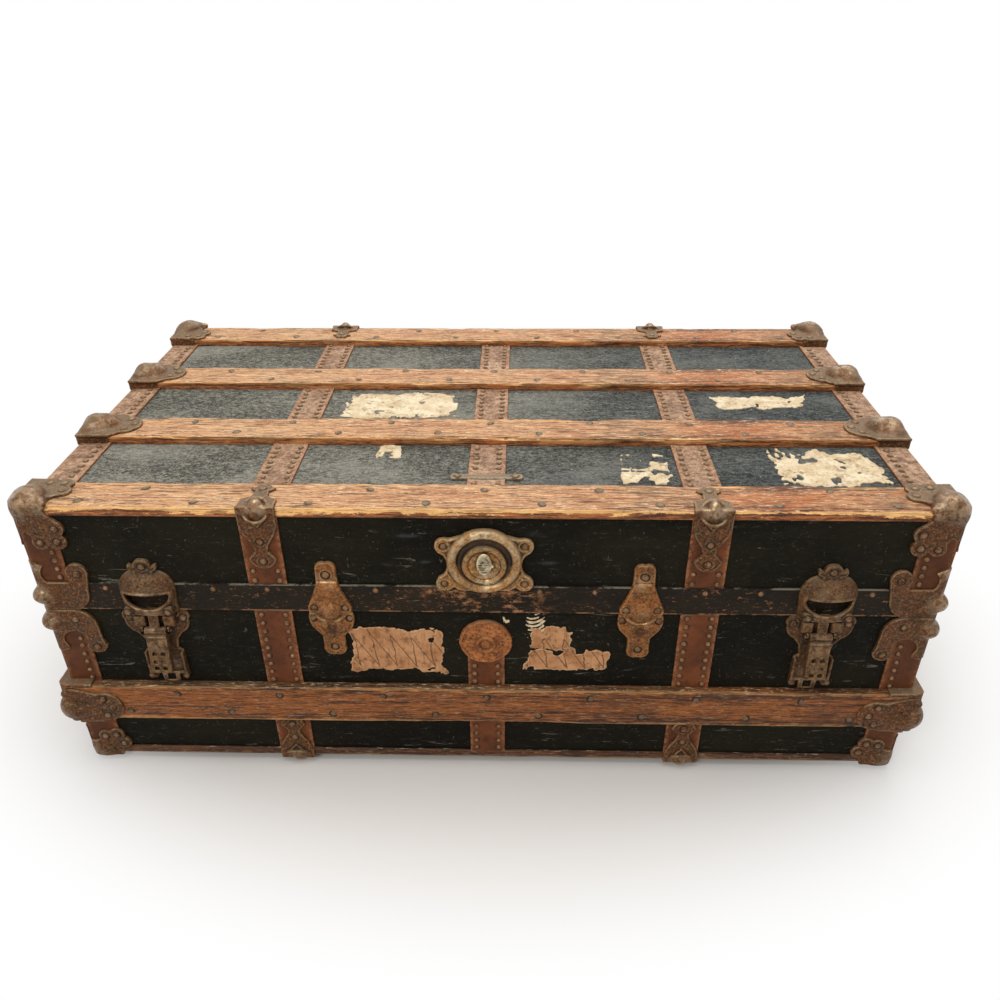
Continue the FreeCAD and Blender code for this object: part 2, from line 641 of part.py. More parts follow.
def hinge_pin(x):
    half = HINGE_LEAF_W / 2 + 2
    return rod((x - half, HINGE_Y, SPLIT), (1, 0, 0), HINGE_PIN_R, 2 * half)


def handle_axis():
    return -HALF_W - HANDLE_OUT, SPLIT - HANDLE_DROP


def handle_loop(seat):
    """A bracket on the left end whose boss takes one end of the handle's pin."""
    x, z = handle_axis()
    y = HANDLE_HALF_SPAN
    plate = block(-HALF_W - PLATE_T, -HALF_W, y - 15, y + 21, z - 17, z + 17)
    boss = rod((x, y - 3, z), (0, 1, 0), HANDLE_BOSS_R, 16)
    web = block(x, -HALF_W, y - 3, y + 13, z - HANDLE_BOSS_R, z + HANDLE_BOSS_R)
    bore = rod((x, y - 4, z), (0, 1, 0), HANDLE_PIN_R + HANDLE_PIN_CLEARANCE, 12)
    return fused([plate, boss, web]).cut([bore] + seat)


def handle():
    """A stiff leather strap hanging in a shallow bow, with a pin at each end."""
    x, z = handle_axis()
    end = HANDLE_HALF_SPAN - 6
    t = HANDLE_T / 2
    strap = outline(
        "yz", (-end, -t), (-end, t), (-end + 10, t), (0, t - HANDLE_SAG, end - 10, t), (end, t), (end, -t),
        (end - 10, -t), (0, -t - HANDLE_SAG, -end + 10, -t),
    )
    body = strap.translated(V(x - HANDLE_W / 2, 0, z)).extrude(V(HANDLE_W, 0, 0))
    grip = rod((x, -end, z), (0, 1, 0), HANDLE_PIN_R + 2.5, 12)
    pins = [
        rod((x, -HANDLE_HALF_SPAN - 7, z), (0, 1, 0), HANDLE_PIN_R, 16),
        rod((x, HANDLE_HALF_SPAN - 9, z), (0, 1, 0), HANDLE_PIN_R, 16),
    ]
    return fused([body, grip, mirror_y(grip)] + pins)


# ---------------------------------------------------------------- inside

def rim_lip():
    """A strip inside the box's rim. It is full thickness below the split and set back above it."""
    top = SPLIT + LIP_RISE
    outer = block(-INNER_X, INNER_X, -INNER_Y, INNER_Y, SPLIT - LIP_BELOW, top)
    hole_x, hole_y = INNER_X - LIP_T, INNER_Y - LIP_T
    hollow = block(-hole_x, hole_x, -hole_y, hole_y, SPLIT - LIP_BELOW, top)
    rim = block(-INNER_X, INNER_X, -INNER_Y, INNER_Y, SPLIT - 1, top)
    kept_x, kept_y = INNER_X - LIP_CLEARANCE, INNER_Y - LIP_CLEARANCE
    set_back = rim.cut(block(-kept_x, kept_x, -kept_y, kept_y, SPLIT - 1, top))
    return outer.cut([hollow, set_back])


def tray_walls():
    front = block(-TRAY_X, TRAY_X, -TRAY_Y, TRAY_WALL - TRAY_Y, TRAY_BOTTOM, SPLIT)
    left = block(-TRAY_X, TRAY_WALL - TRAY_X, TRAY_WALL - TRAY_Y, TRAY_Y - TRAY_WALL, TRAY_BOTTOM, SPLIT)
    return front_and_back([front]) + left_and_right([left])


def tray_floor():
    x, y = TRAY_X - TRAY_WALL, TRAY_Y - TRAY_WALL
    return block(-x, x, -y, y, TRAY_BOTTOM, TRAY_BOTTOM + TRAY_FLOOR)


def tray_tapes():
    """A leather pull at each end of the tray."""
    x = TRAY_WALL - TRAY_X
    tape = block(x, x + TAPE_T, -TAPE_W / 2, TAPE_W / 2, SPLIT - 45, SPLIT + 12)
    return left_and_right([tape])


def tray_runners():
    half = INNER_Y - RUNNER_SHORT
    runner = block(-INNER_X, RUNNER_W - INNER_X, -half, half, TRAY_BOTTOM - RUNNER_H, TRAY_BOTTOM)
    return left_and_right([runner])


# ---------------------------------------------------------------- nails and rivets

def upright_columns(z_low, z_high, with_band):
    """Nail columns on all four faces between two heights, on the corner bindings and the bands."""
    heads = []
    xs = [BINDING_NAIL_INSET - FIBRE_X]
    for band in BAND_XS:
        if with_band(band):
            xs += [band - BAND_NAIL_OFFSET, band + BAND_NAIL_OFFSET]
    xs.append(FIBRE_X - BINDING_NAIL_INSET)
    for z in spread(z_low, z_high, NAIL_PITCH):
        heads += [((x, -FIBRE_Y, z), (0, -1, 0)) for x in xs]
        heads += [((x, FIBRE_Y, z), (0, 1, 0)) for x in xs]
        for y in (BINDING_NAIL_INSET - FIBRE_Y, FIBRE_Y - BINDING_NAIL_INSET):
            heads += [((-FIBRE_X, y, z), (-1, 0, 0)), ((FIBRE_X, y, z), (1, 0, 0))]
    return heads


def end_row(z):
    """A row of nails along the inner edge of each end's edge binding."""
    reach = FIBRE_Y - BINDING_W - 6
    heads = []
    for y in spread(-reach, reach, NAIL_PITCH):
        heads += [((-FIBRE_X, y, z), (-1, 0, 0)), ((FIBRE_X, y, z), (1, 0, 0))]
    return heads


def flat_columns(z, up):
    """Nails on the bands and edge bindings of the lid's top or the box's bottom."""
    xs = [BINDING_NAIL_INSET - FIBRE_X, FIBRE_X - BINDING_NAIL_INSET]
    for band in BAND_XS:
        xs += [band - BAND_NAIL_OFFSET, band + BAND_NAIL_OFFSET]
    reach = FIBRE_Y - 8
    return [((x, y, z), (0, 0, up)) for y in spread(-reach, reach, NAIL_PITCH) for x in xs]


def valance_row():
    z = VALANCE_TOP - 6.5
    heads = []
    for x in spread(-FIBRE_X + 70, FIBRE_X - 70, VALANCE_NAIL_PITCH):
        heads += [((x, -FIBRE_Y, z), (0, -1, 0)), ((x, FIBRE_Y, z), (0, 1, 0))]
    for y in spread(-FIBRE_Y + 70, FIBRE_Y - 70, VALANCE_NAIL_PITCH):
        heads += [((-FIBRE_X, y, z), (-1, 0, 0)), ((FIBRE_X, y, z), (1, 0, 0))]
    return heads


def slat_heads(z, up):
    """Two staggered rows of nails along each long slat."""
    heads = []
    reach = HALF_W - 60
    for y in SLAT_YS:
        for n, x in enumerate(spread(-reach, reach, SLAT_NAIL_PITCH / 2)):
            heads.append(((x, y + (13 if n % 2 else -13), z), (0, 0, up)))
    return heads


def box_slat_heads():
    heads = []
    for n, x in enumerate(spread(60 - HALF_W, HALF_W - 60, SLAT_NAIL_PITCH / 2)):
        z = BOX_SLAT_Z + SLAT_W / 2 + (13 if n % 2 else -13)
        heads += [((x, -SLAT_FACE_Y, z), (0, -1, 0)), ((x, SLAT_FACE_Y, z), (0, 1, 0))]
    for n, y in enumerate(spread(70 - HALF_D, HALF_D - 70, SLAT_NAIL_PITCH / 2)):
        z = BOX_SLAT_Z + SLAT_W / 2 + (13 if n % 2 else -13)
        heads += [((-SLAT_FACE_X, y, z), (-1, 0, 0)), ((SLAT_FACE_X, y, z), (1, 0, 0))]
    return heads


def driven(heads, head, radius, height, keep_clear):
    """Nail heads of one shape, except where they would be under other hardware."""
    boxes = [s.BoundBox for solid in keep_clear for s in solid.Solids]
    return [head(radius, height, at, out) for at, out in heads if not inside_any(at, boxes, radius + 0.5)]


def rivets_front(points, corner_x, z, face_y):
    """Rivet heads on a leaf that faces the front."""
    return [dome(RIVET_R, RIVET_H, (corner_x + u, face_y, z + v), (0, -1, 0)) for u, v in points]


def rivets_top(points, corner_x, corner_y, face_z):
    """Rivet heads on a leaf that faces up."""
    return [dome(RIVET_R, RIVET_H, (corner_x + u, corner_y + v, face_z), (0, 0, 1)) for u, v in points]


def corner_rivets(points, corner_x, corner_y, z):
    """Rivet heads on the front leaf and, reflected, the end leaf of a casting at each of the four corners."""
    heads = rivets_front(points, corner_x, z, corner_y - PLATE_T)
    heads += [across_corner(h, corner_x, corner_y) for h in heads]
    return front_and_back(left_and_right(heads))


def lid_rivets():
    heads = corner_rivets([(20, -30), (37, -29), (38, -14)], -FIBRE_X, -FIBRE_Y, LID_TOP)
    heads += corner_rivets([(46, 46), (22, 10)], -FIBRE_X, -FIBRE_Y, SPLIT)
    top_leaf = rivets_top([(21, 42), (36, 41), (40, 27)], -FIBRE_X, -FIBRE_Y, SLAT_TOP + PLATE_T)
    heads += front_and_back(left_and_right(top_leaf))
    for y in SLAT_YS[1:-1]:
        heads += left_and_right(rivets_top([(54, 2), (46, -10), (46, 14)], -FIBRE_X, y, SLAT_TOP + PLATE_T))
    for x in (-BAND_X, BAND_X):
        clamp = rivets_front([(0, -27), (0, -50)], x, LID_TOP, -FIBRE_Y - PLATE_T)
        clamp += rivets_top([(0, 33)], x, -FIBRE_Y, SLAT_TOP + PLATE_T)
        heads += front_and_back(clamp)
    for x in (-DRAWBOLT_X, DRAWBOLT_X):
        heads += rivets_front([(0, 56)], x, SPLIT, -FIBRE_Y - HOOD_LUG_T)
        heads += rivets_front([(-20.5, 7), (20.5, 7)], x, SPLIT, -FIBRE_Y - HOOD_DEPTH)
    for x in (-GUIDE_X, GUIDE_X):
        heads += rivets_front([(0, 48), (-16, 7), (16, 7)], x, SPLIT, -FIBRE_Y - PLATE_T)
    ears = [(-40, 17), (40, 17), (-40, -28), (40, -28)]
    heads += rivets_front(ears, 0, SPLIT + LOCK_RISE, -FIBRE_Y - LOCK_BASE_T)
    heads += [dome(3.0, 1.0, (x, STRIP_Y, FIBRE_TOP + STRIP_T), (0, 0, 1)) for x in (-30, 30)]
    for x in BAND_XS:
        heads += hinge_rivets(x, [20])
    return heads


def hinge_rivets(x, rises):
    """Two rivet heads on a hinge leaf at each height over the split."""
    face_y = FIBRE_Y + HINGE_LEAF_T
    return [dome(RIVET_R, RIVET_H, (x + u, face_y, SPLIT + v), (0, 1, 0)) for u in (-16, 16) for v in rises]


def box_rivets():
    heads = corner_rivets([(20, 18), (33, 20), (39, 7)], -FIBRE_X, -FIBRE_Y, BOX_BOTTOM)
    heads += corner_rivets([(44, -49), (30, -12)], -FIBRE_X, -FIBRE_Y, SPLIT)
    heads += corner_rivets([(52, 19), (44, 31), (44, 7)], -SLAT_FACE_X, -SLAT_FACE_Y, BOX_SLAT_Z)
    for x in (-BAND_X, BAND_X):
        low_rivets = [(0, 27 - BOTTOM_LEG_LIFT), (0, 47 - BOTTOM_LEG_LIFT)]
        heads += front_and_back(rivets_front(low_rivets, x, BOX_BOTTOM, -FIBRE_Y - PLATE_T))
    for x in (-DRAWBOLT_X, DRAWBOLT_X):
        heads += rivets_front([(-28, -10), (28, -10)], x, SPLIT, -HALF_D - PLATE_T)
    for x in (-GUIDE_X, GUIDE_X):
        heads += rivets_front([(0, -46), (-19, -8), (19, -8)], x, SPLIT, -FIBRE_Y - 0.4)
    for x in BAND_XS:
        heads += hinge_rivets(x, [-14, -40])
    axis_x, axis_z = handle_axis()
    loop = []
    for u in (-9, 17):
        for v in (-12, 12):
            at = (-HALF_W - PLATE_T, HANDLE_HALF_SPAN + u, axis_z + v)
            loop.append(dome(RIVET_R, RIVET_H, at, (-1, 0, 0)))
    return heads + front_and_back(left_and_right(loop))


# ---------------------------------------------------------------- the whole trunk

def build_box():
    bottom, front, back, left, right = walls(BOX_BOTTOM, SPLIT)
    bands = box_bands()
    corners = four_corners(corner_angle(BOX_BOTTOM, SPLIT))
    edges = end_edge_bindings(FIBRE_BOTTOM, BOX_BOTTOM)
    edges = [e.cut(corners) for e in edges]
    fibre = bands + corners + edges
    face_slats = box_front_slats(fibre)
    end_slats = box_end_slats(fibre)
    bottom_slats = long_slats(BOX_BOTTOM, FOOT_DROP, fibre)
    core = block(-HALF_W, HALF_W, -HALF_D, HALF_D, BOX_BOTTOM, SPLIT)
    seat = [core] + fibre + face_slats + end_slats + bottom_slats
    caps = four_corners(bottom_corner(seat))
    rim_clamps = four_corners(box_rim_clamp(seat))
    slat_clamps = four_corners(box_slat_clamp(seat))
    clamp = upside_down(band_clamp(-BAND_X, BOTTOM_LEG_LIFT, []))
    band_clamps = four_corners(clamp.cut(seat))
    foot_rise = BOX_BOTTOM - FOOT_KNOB_R
    feet = [upside_down(slat_end_clamp(y, FOOT_KNOB_R, foot_rise, [])) for y in SLAT_YS[1:-1]]
    end_clamps = left_and_right([foot.cut(seat) for foot in feet])
    bases = [drawbolt_base(x, seat) for x in (-DRAWBOLT_X, DRAWBOLT_X)]
    sockets = [guide_socket(x, seat) for x in (-GUIDE_X, GUIDE_X)]
    plate = lock_plate(seat)
    leaves = [hinge_leaf(x, SPLIT - 52, SPLIT, False, seat) for x in BAND_XS]
    loops = front_and_back(left_and_right([handle_loop(seat)]))
    save("box_bottom_board", [bottom])
    save("box_front_board", [front])
    save("box_back_board", [back])
    save("box_left_board", [left])
    save("box_right_board", [right])
    save("box_canvas", [open_shell(HALF_W, HALF_D, BOX_BOTTOM, SPLIT, CANVAS_T)])
    save("box_lining", [lining(BOX_BOTTOM, SPLIT)])
    save("box_rim_lip", [rim_lip()])
    save("box_bands", bands)
    save("box_bindings", corners + edges)
    save("box_face_slats", face_slats)
    save("box_end_slats", end_slats)
    save("bottom_slats", bottom_slats)
    save("bottom_corners", caps)
    save("box_rim_clamps", rim_clamps)
    save("box_slat_clamps", slat_clamps)
    save("bottom_band_clamps", band_clamps)
    save("bottom_slat_clamps", end_clamps)
    save("drawbolt_bases", bases)
    save("drawbolt_pins", [drawbolt_pin(x) for x in (-DRAWBOLT_X, DRAWBOLT_X)])
    save("guide_sockets", sockets)
    save("lock_plate", [plate])
    save("box_hinge_leaves", leaves)
    save("hinge_pins", [hinge_pin(x) for x in BAND_XS])
    save("handle_loops", loops)
    save("tray_runners", tray_runners())
    save("box_rivets", box_rivets())
    hardware = caps + rim_clamps + slat_clamps + band_clamps + end_clamps + bases + sockets + [plate]
    hardware += leaves + loops + face_slats + end_slats + bottom_slats
    heads = upright_columns(BOX_BOTTOM + 6, SPLIT - 5, lambda band: band != 0)
    rises = spread(BOX_BOTTOM + 6, SPLIT - 5, NAIL_PITCH)
    lock_band = [(s * BAND_NAIL_OFFSET, z) for s in (-1, 1) for z in rises]
    heads += [((x, FIBRE_Y, z), (0, 1, 0)) for x, z in lock_band]
    heads += [((x, -FIBRE_Y, z), (0, -1, 0)) for x, z in lock_band if z < SPLIT - LOCK_PLATE_DROP]
    heads += end_row(FIBRE_BOTTOM + BINDING_NAIL_INSET) + flat_columns(FIBRE_BOTTOM, -1)
    save("box_nails", driven(heads, dome, NAIL_R, NAIL_H, hardware))
    slat_blockers = caps + slat_clamps + band_clamps + end_clamps
    on_slats = box_slat_heads() + slat_heads(FOOT_DROP, -1)
    save("box_slat_nails", driven(on_slats, disc, SLAT_NAIL_R, SLAT_NAIL_H, slat_blockers))


def build_lid():
    top, front, back, left, right = walls(LID_TOP, LID_BOTTOM)
    bands = lid_bands()
    edges = end_edge_bindings(FIBRE_TOP, LID_TOP)
    corners = four_corners(corner_angle(VALANCE_TOP, LID_TOP))
    edges = [e.cut(corners) for e in edges]
    fibre = bands + corners + edges
    slats = long_slats(LID_TOP, SLAT_TOP, fibre)
    core = block(-HALF_W, HALF_W, -HALF_D, HALF_D, LID_BOTTOM, LID_TOP)
    rim = valance()
    seat = [core, rim] + fibre + slats
    caps = four_corners(lid_corner(seat))
    rim_clamps = four_corners(lid_rim_clamp(seat))
    inner_ys = SLAT_YS[1:-1]
    end_clamps = left_and_right([slat_end_clamp(y, SLAT_KNOB_R, SLAT_KNOB_RISE, seat) for y in inner_ys])
    band_clamps = four_corners(band_clamp(-BAND_X, 0, seat))
    hoods = [drawbolt_hood(x, seat) for x in (-DRAWBOLT_X, DRAWBOLT_X)]
    noses = [guide_nose(x, seat) for x in (-GUIDE_X, GUIDE_X)]
    case = lock_case(seat)
    strip = lid_strip(seat)
    leaves = [hinge_leaf(x, SPLIT + 31, SPLIT, True, seat) for x in BAND_XS]
    save("lid_top_board", [top])
    save("lid_front_board", [front])
    save("lid_back_board", [back])
    save("lid_left_board", [left])
    save("lid_right_board", [right])
    save("lid_canvas", [open_shell(HALF_W, HALF_D, LID_TOP, LID_BOTTOM, CANVAS_T)])
    save("lid_lining", [lining(LID_TOP, LID_BOTTOM)])
    save("lid_valance", [rim])
    save("lid_bands", bands)
    save("lid_bindings", corners + edges)
    save("lid_slats", slats)
    save("lid_corners", caps)
    save("lid_rim_clamps", rim_clamps)
    save("lid_slat_clamps", end_clamps)
    save("lid_band_clamps", band_clamps)
    save("drawbolt_hoods", hoods)
    save("guide_noses", noses)
    save("lock_case", [case])
    save("lid_strip", [strip])
    save("lid_hinge_leaves", leaves)
    save("lid_rivets", lid_rivets())
    hardware = caps + rim_clamps + end_clamps + band_clamps + hoods + noses + [case, strip] + leaves + slats
    heads = upright_columns(VALANCE_TOP + 5, LID_TOP - 4, lambda band: band != 0)
    heads += end_row(FIBRE_TOP - BINDING_NAIL_INSET) + flat_columns(FIBRE_TOP, 1) + valance_row()
    save("lid_nails", driven(heads, dome, NAIL_R, NAIL_H, hardware))
    on_slats = slat_heads(SLAT_TOP, 1)
    save("lid_slat_nails", driven(on_slats, disc, SLAT_NAIL_R, SLAT_NAIL_H, caps + end_clamps + band_clamps))


def build_movers():
    left_handle = handle()
    save("left_handle", [left_handle])
    save("right_handle", [mirror_x(left_handle)])
    save("left_lever", [drawbolt_lever(-DRAWBOLT_X)])
    save("right_lever", [drawbolt_lever(DRAWBOLT_X)])
    save("keyhole_cover", [keyhole_cover()])
    save("tray_walls", tray_walls())
    save("tray_floor", [tray_floor()])
    save("tray_tapes", tray_tapes())


os.makedirs("parts", exist_ok=True)
build_box()
build_lid()
build_movers()
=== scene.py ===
# %% [markdown]
# # A flat-topped steamer trunk
# The trunk is a wooden box and a lid, covered with painted canvas, bound with red-brown fibre, guarded by
# hardwood slats and held together by cast iron clamps. The CAD model gives every size and joint. Here each
# part gets the shape and finish that years on the road have left it with.

# %% The frame
import math

import bpy
import numpy as np
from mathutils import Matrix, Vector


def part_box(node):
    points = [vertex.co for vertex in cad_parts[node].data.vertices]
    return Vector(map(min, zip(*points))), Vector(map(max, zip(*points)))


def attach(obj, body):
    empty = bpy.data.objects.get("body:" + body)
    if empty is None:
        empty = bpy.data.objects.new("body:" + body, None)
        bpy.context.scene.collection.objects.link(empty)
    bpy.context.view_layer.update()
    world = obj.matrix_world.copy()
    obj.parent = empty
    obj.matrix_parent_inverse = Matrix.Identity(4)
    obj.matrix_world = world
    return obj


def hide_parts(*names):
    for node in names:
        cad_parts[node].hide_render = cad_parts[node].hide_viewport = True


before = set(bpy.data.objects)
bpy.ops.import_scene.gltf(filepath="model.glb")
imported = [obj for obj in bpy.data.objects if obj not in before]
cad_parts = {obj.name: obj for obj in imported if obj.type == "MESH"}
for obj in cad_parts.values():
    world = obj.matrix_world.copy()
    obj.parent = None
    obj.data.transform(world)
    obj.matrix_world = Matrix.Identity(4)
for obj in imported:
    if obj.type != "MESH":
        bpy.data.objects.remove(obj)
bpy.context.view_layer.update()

print("CAD nodes:", len(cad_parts))

# %% [markdown]
# ## Measures
# A furniture maker works in millimetres, and Blender's unit is the metre, so the shapes below are worked out
# in millimetres and shrunk by `MM` when they become meshes. The planes of the trunk are read from the CAD
# nodes instead of being typed in, so they can't drift from the real ones.

# %% Planes of the trunk
MM = 0.001


def face_of(node, axis, side):
    """One side of a CAD node's box, in millimetres: side 0 is the low one and 1 the high one."""
    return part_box(node)[side][axis] / MM


HALF_W = face_of("lid_canvas", 0, 1)
HALF_D = face_of("lid_canvas", 1, 1)
FIBRE_X = face_of("lid_valance", 0, 1)
FIBRE_Y = face_of("lid_valance", 1, 1)
BOX_BOTTOM = face_of("box_canvas", 2, 0)
SPLIT = face_of("box_canvas", 2, 1)
LID_BOTTOM = face_of("lid_canvas", 2, 0)
LID_TOP = face_of("lid_canvas", 2, 1)
VALANCE_TOP = face_of("lid_valance", 2, 1)
FIBRE_TOP = face_of("lid_bands", 2, 1)
FIBRE_BOTTOM = face_of("box_bands", 2, 0)
SLAT_TOP = face_of("lid_slats", 2, 1)
SLAT_FACE_Y = face_of("box_face_slats", 1, 1)
SLAT_FACE_X = face_of("box_end_slats", 0, 1)
BOX_SLAT_Z = face_of("box_face_slats", 2, 0)
print("lid", round(LID_BOTTOM, 1), "to", round(LID_TOP, 1), "slats to", round(SLAT_TOP, 1), "mm")

# %% [markdown]
# ## Solids inside a CAD node
# One CAD node holds many solids: all the nails, or all four slats. To put a better nail where each plain one
# is, the box of each solid is wanted. Corners that coincide are welded, and each then takes the smallest
# number of its neighbours until nothing changes, so every solid ends with one number.

# %% Separate solids
def read(items, field, width=1, kind=np.float32):
    """One field of every item of a mesh, as an array with a row for each."""
    flat = np.empty(len(items) * width, kind)
    items.foreach_get(field, flat)
    return flat if width == 1 else flat.reshape(-1, width)


def islands(node):
    """The low and high corner of each separate solid in a CAD node, in millimetres."""
    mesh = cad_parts[node].data
    points, weld = np.unique(np.round(read(mesh.vertices, "co", 3) / MM, 2), axis=0, return_inverse=True)
    triangles = weld.ravel()[read(mesh.loops, "vertex_index", kind=np.int32)].reshape(-1, 3)
    label = np.arange(len(points))
    while True:
        least = label[triangles].min(1)
        new = label.copy()
        for corner in range(3):
            np.minimum.at(new, triangles[:, corner], least)
        new = new[new]
        if (new == label).all():
            break
        label = new
    order = np.argsort(label, kind="stable")
    starts = np.flatnonzero(np.r_[True, np.diff(label[order]) > 0])
    low = np.minimum.reduceat(points[order], starts)
    high = np.maximum.reduceat(points[order], starts)
    return low, high


# %% [markdown]
# ## Chunks and pieces
# A chunk is a mesh before Blender has it: points in millimetres, faces, and named numbers on each point, such
# as how worn it is. Chunks can be moved and mirrored with plain arithmetic. A mirrored chunk has its faces
# turned over as well, or it would be inside out. `piece` then makes one object from all the chunks of one
# kind on one body.

# %% Chunks and pieces
class Chunk:
    """Points in millimetres, quads or triangles, and named values on the points."""

    def __init__(self, points, faces, **marks):
        self.points = np.asarray(points, float)
        self.faces = [np.asarray(block, int) for block in faces if len(block)]
        self.marks = {name: np.asarray(value, float) for name, value in marks.items()}

    def placed(self, matrix, shift=(0, 0, 0)):
        """A turned, mirrored or swapped copy, with its faces still pointing outwards."""
        matrix = np.asarray(matrix, float)
        turned_over = np.linalg.det(matrix) < 0
        faces = [block[:, ::-1] if turned_over else block for block in self.faces]
        return Chunk(self.points @ matrix.T + np.asarray(shift), faces, **self.marks)

    def moved(self, *shift):
        return self.placed(np.eye(3), shift)

    def mirrored(self, *signs):
        return self.placed(np.diag(signs))


def left_and_right(chunks):
    return chunks + [c.mirrored(-1, 1, 1) for c in chunks]


def four_corners(chunks):
    both = left_and_right(chunks)
    return both + [c.mirrored(1, -1, 1) for c in both]


def note(mesh, name, values):
    """Stores a number or a vector on every point of a mesh."""
    values = np.asarray(values, np.float32)
    kind, field = ("FLOAT", "value") if values.ndim == 1 else ("FLOAT_VECTOR", "vector")
    mesh.attributes.new(name, kind, "POINT").data.foreach_set(field, values.ravel())


def piece(name, body, slot, finish, chunks, *nodes):
    """One Blender object from chunks. It rides on a body, and stands for the CAD nodes given or, if there is
    one, the node it shares its name with."""
    points, flat, sizes, start = [], [], [], 0
    for chunk in chunks:
        points.append(chunk.points)
        for block in chunk.faces:
            flat.append((block + start).ravel())
            sizes.append(np.full(len(block), block.shape[1]))
        start += len(chunk.points)
    points, flat, sizes = np.concatenate(points) * MM, np.concatenate(flat), np.concatenate(sizes)
    mesh = bpy.data.meshes.new(name)
    mesh.vertices.add(len(points))
    mesh.vertices.foreach_set("co", points.astype(np.float32).ravel())
    mesh.loops.add(len(flat))
    mesh.loops.foreach_set("vertex_index", flat.astype(np.int32))
    mesh.polygons.add(len(sizes))
    mesh.polygons.foreach_set("loop_start", np.r_[0, np.cumsum(sizes)[:-1]].astype(np.int32))
    mesh.polygons.foreach_set("use_smooth", np.full(len(sizes), True))
    for mark in chunks[0].marks:
        note(mesh, mark, np.concatenate([c.marks[mark] for c in chunks]))
    mesh.update(calc_edges=True)
    mesh.validate()
    mesh.materials.append(finish)
    obj = bpy.data.objects.new(name, mesh)
    bpy.context.scene.collection.objects.link(obj)
    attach(obj, body)
    if not nodes and name.lower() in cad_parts:
        nodes = [name.lower()]
    if nodes:
        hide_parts(*nodes)
    print(name, "on", body, "-", int((sizes - 2).sum()), "triangles")


# %% [markdown]
# ## Writing node trees as arithmetic
# Shader and geometry trees are built in code. A `Wire` is the output of a node. Adding, multiplying or
# dividing wires adds the Math nodes that do it, so a formula reads as it would on paper. `bounce` goes up from
# 0 to a reach and down again, over and over. `Tree.node` makes every other node: first its settings, then the
# values or links of its sockets.

# %% Wires and trees
def maths(operation, turned=False):
    """A method that feeds the wire and one more value, or the two the other way round, to a Math node."""

    def method(wire, *others):
        values = (*others, wire) if turned else (wire, *others)
        return wire.tree.node("ShaderNodeMath", {"operation": operation}, dict(enumerate(values)))

    return method


class Wire:
    """An output socket with arithmetic."""

    def __init__(self, tree, socket):
        self.tree = tree
        self.socket = socket

    __add__, __radd__ = maths("ADD"), maths("ADD", True)
    __sub__, __rsub__ = maths("SUBTRACT"), maths("SUBTRACT", True)
    __mul__, __rmul__ = maths("MULTIPLY"), maths("MULTIPLY", True)
    __truediv__, __abs__ = maths("DIVIDE"), maths("ABSOLUTE")
    least, most, wave = maths("MINIMUM"), maths("MAXIMUM"), maths("SINE")
    bounce = maths("PINGPONG")

    def __neg__(self):
        return 0 - self

    def rise(self, low, high):
        """0 up to low, 1 from high on, and a smooth step between, or the other way if low is above high."""
        inputs = {"Value": self, "From Min": min(low, high), "From Max": max(low, high)}
        inputs |= {"To Min": float(low > high), "To Max": float(low <= high)}
        return self.tree.node("ShaderNodeMapRange", {"interpolation_type": "SMOOTHSTEP"}, inputs)

    def part(self, axis):
        return self.tree.node("ShaderNodeSeparateXYZ", {}, {0: self}, axis)


class Tree:
    """A node tree whose nodes are made one line at a time."""

    def __init__(self, nodes_and_links):
        self.tree = nodes_and_links

    def node(self, kind, settings=None, inputs=None, out=0):
        made = self.tree.nodes.new(kind)
        for name, value in (settings or {}).items():
            if name == "stops":
                ramp = made.color_ramp
                while len(ramp.elements) < len(value):
                    ramp.elements.new(0.5)
                for element, (place, colour) in zip(ramp.elements, value):
                    element.position = place
                    element.color = colour
            else:
                setattr(made, name, value)
        for key, value in (inputs or {}).items():
            for one in value if isinstance(value, list) else [value]:
                if isinstance(one, Wire):
                    self.tree.links.new(one.socket, made.inputs[key])
                else:
                    made.inputs[key].default_value = one
        self.last = made
        return Wire(self, made.outputs[out]) if len(made.outputs) else made


# %% [markdown]
# ## A finish
# A `Finish` is a material with one Principled shader. Its patterns read Object coordinates, which stay put on
# the trunk, so grain and rust don't swim when the lid opens. `tone` takes a colour as a painter would pick it
# from a screen and makes it the linear colour that Blender works in. Like paint, `colour` is built up in
# coats, each laid where a mask made of noise lets it.

# %% Finishes
def tone(colour):
    """A screen colour, three numbers from 0 to 255, as linear light. A wire stays as it is."""
    if isinstance(colour, Wire):
        return colour
    return tuple(((c / 255 + 0.055) / 1.055) ** 2.4 if c > 10 else c / 255 / 12.92 for c in colour) + (1.0,)


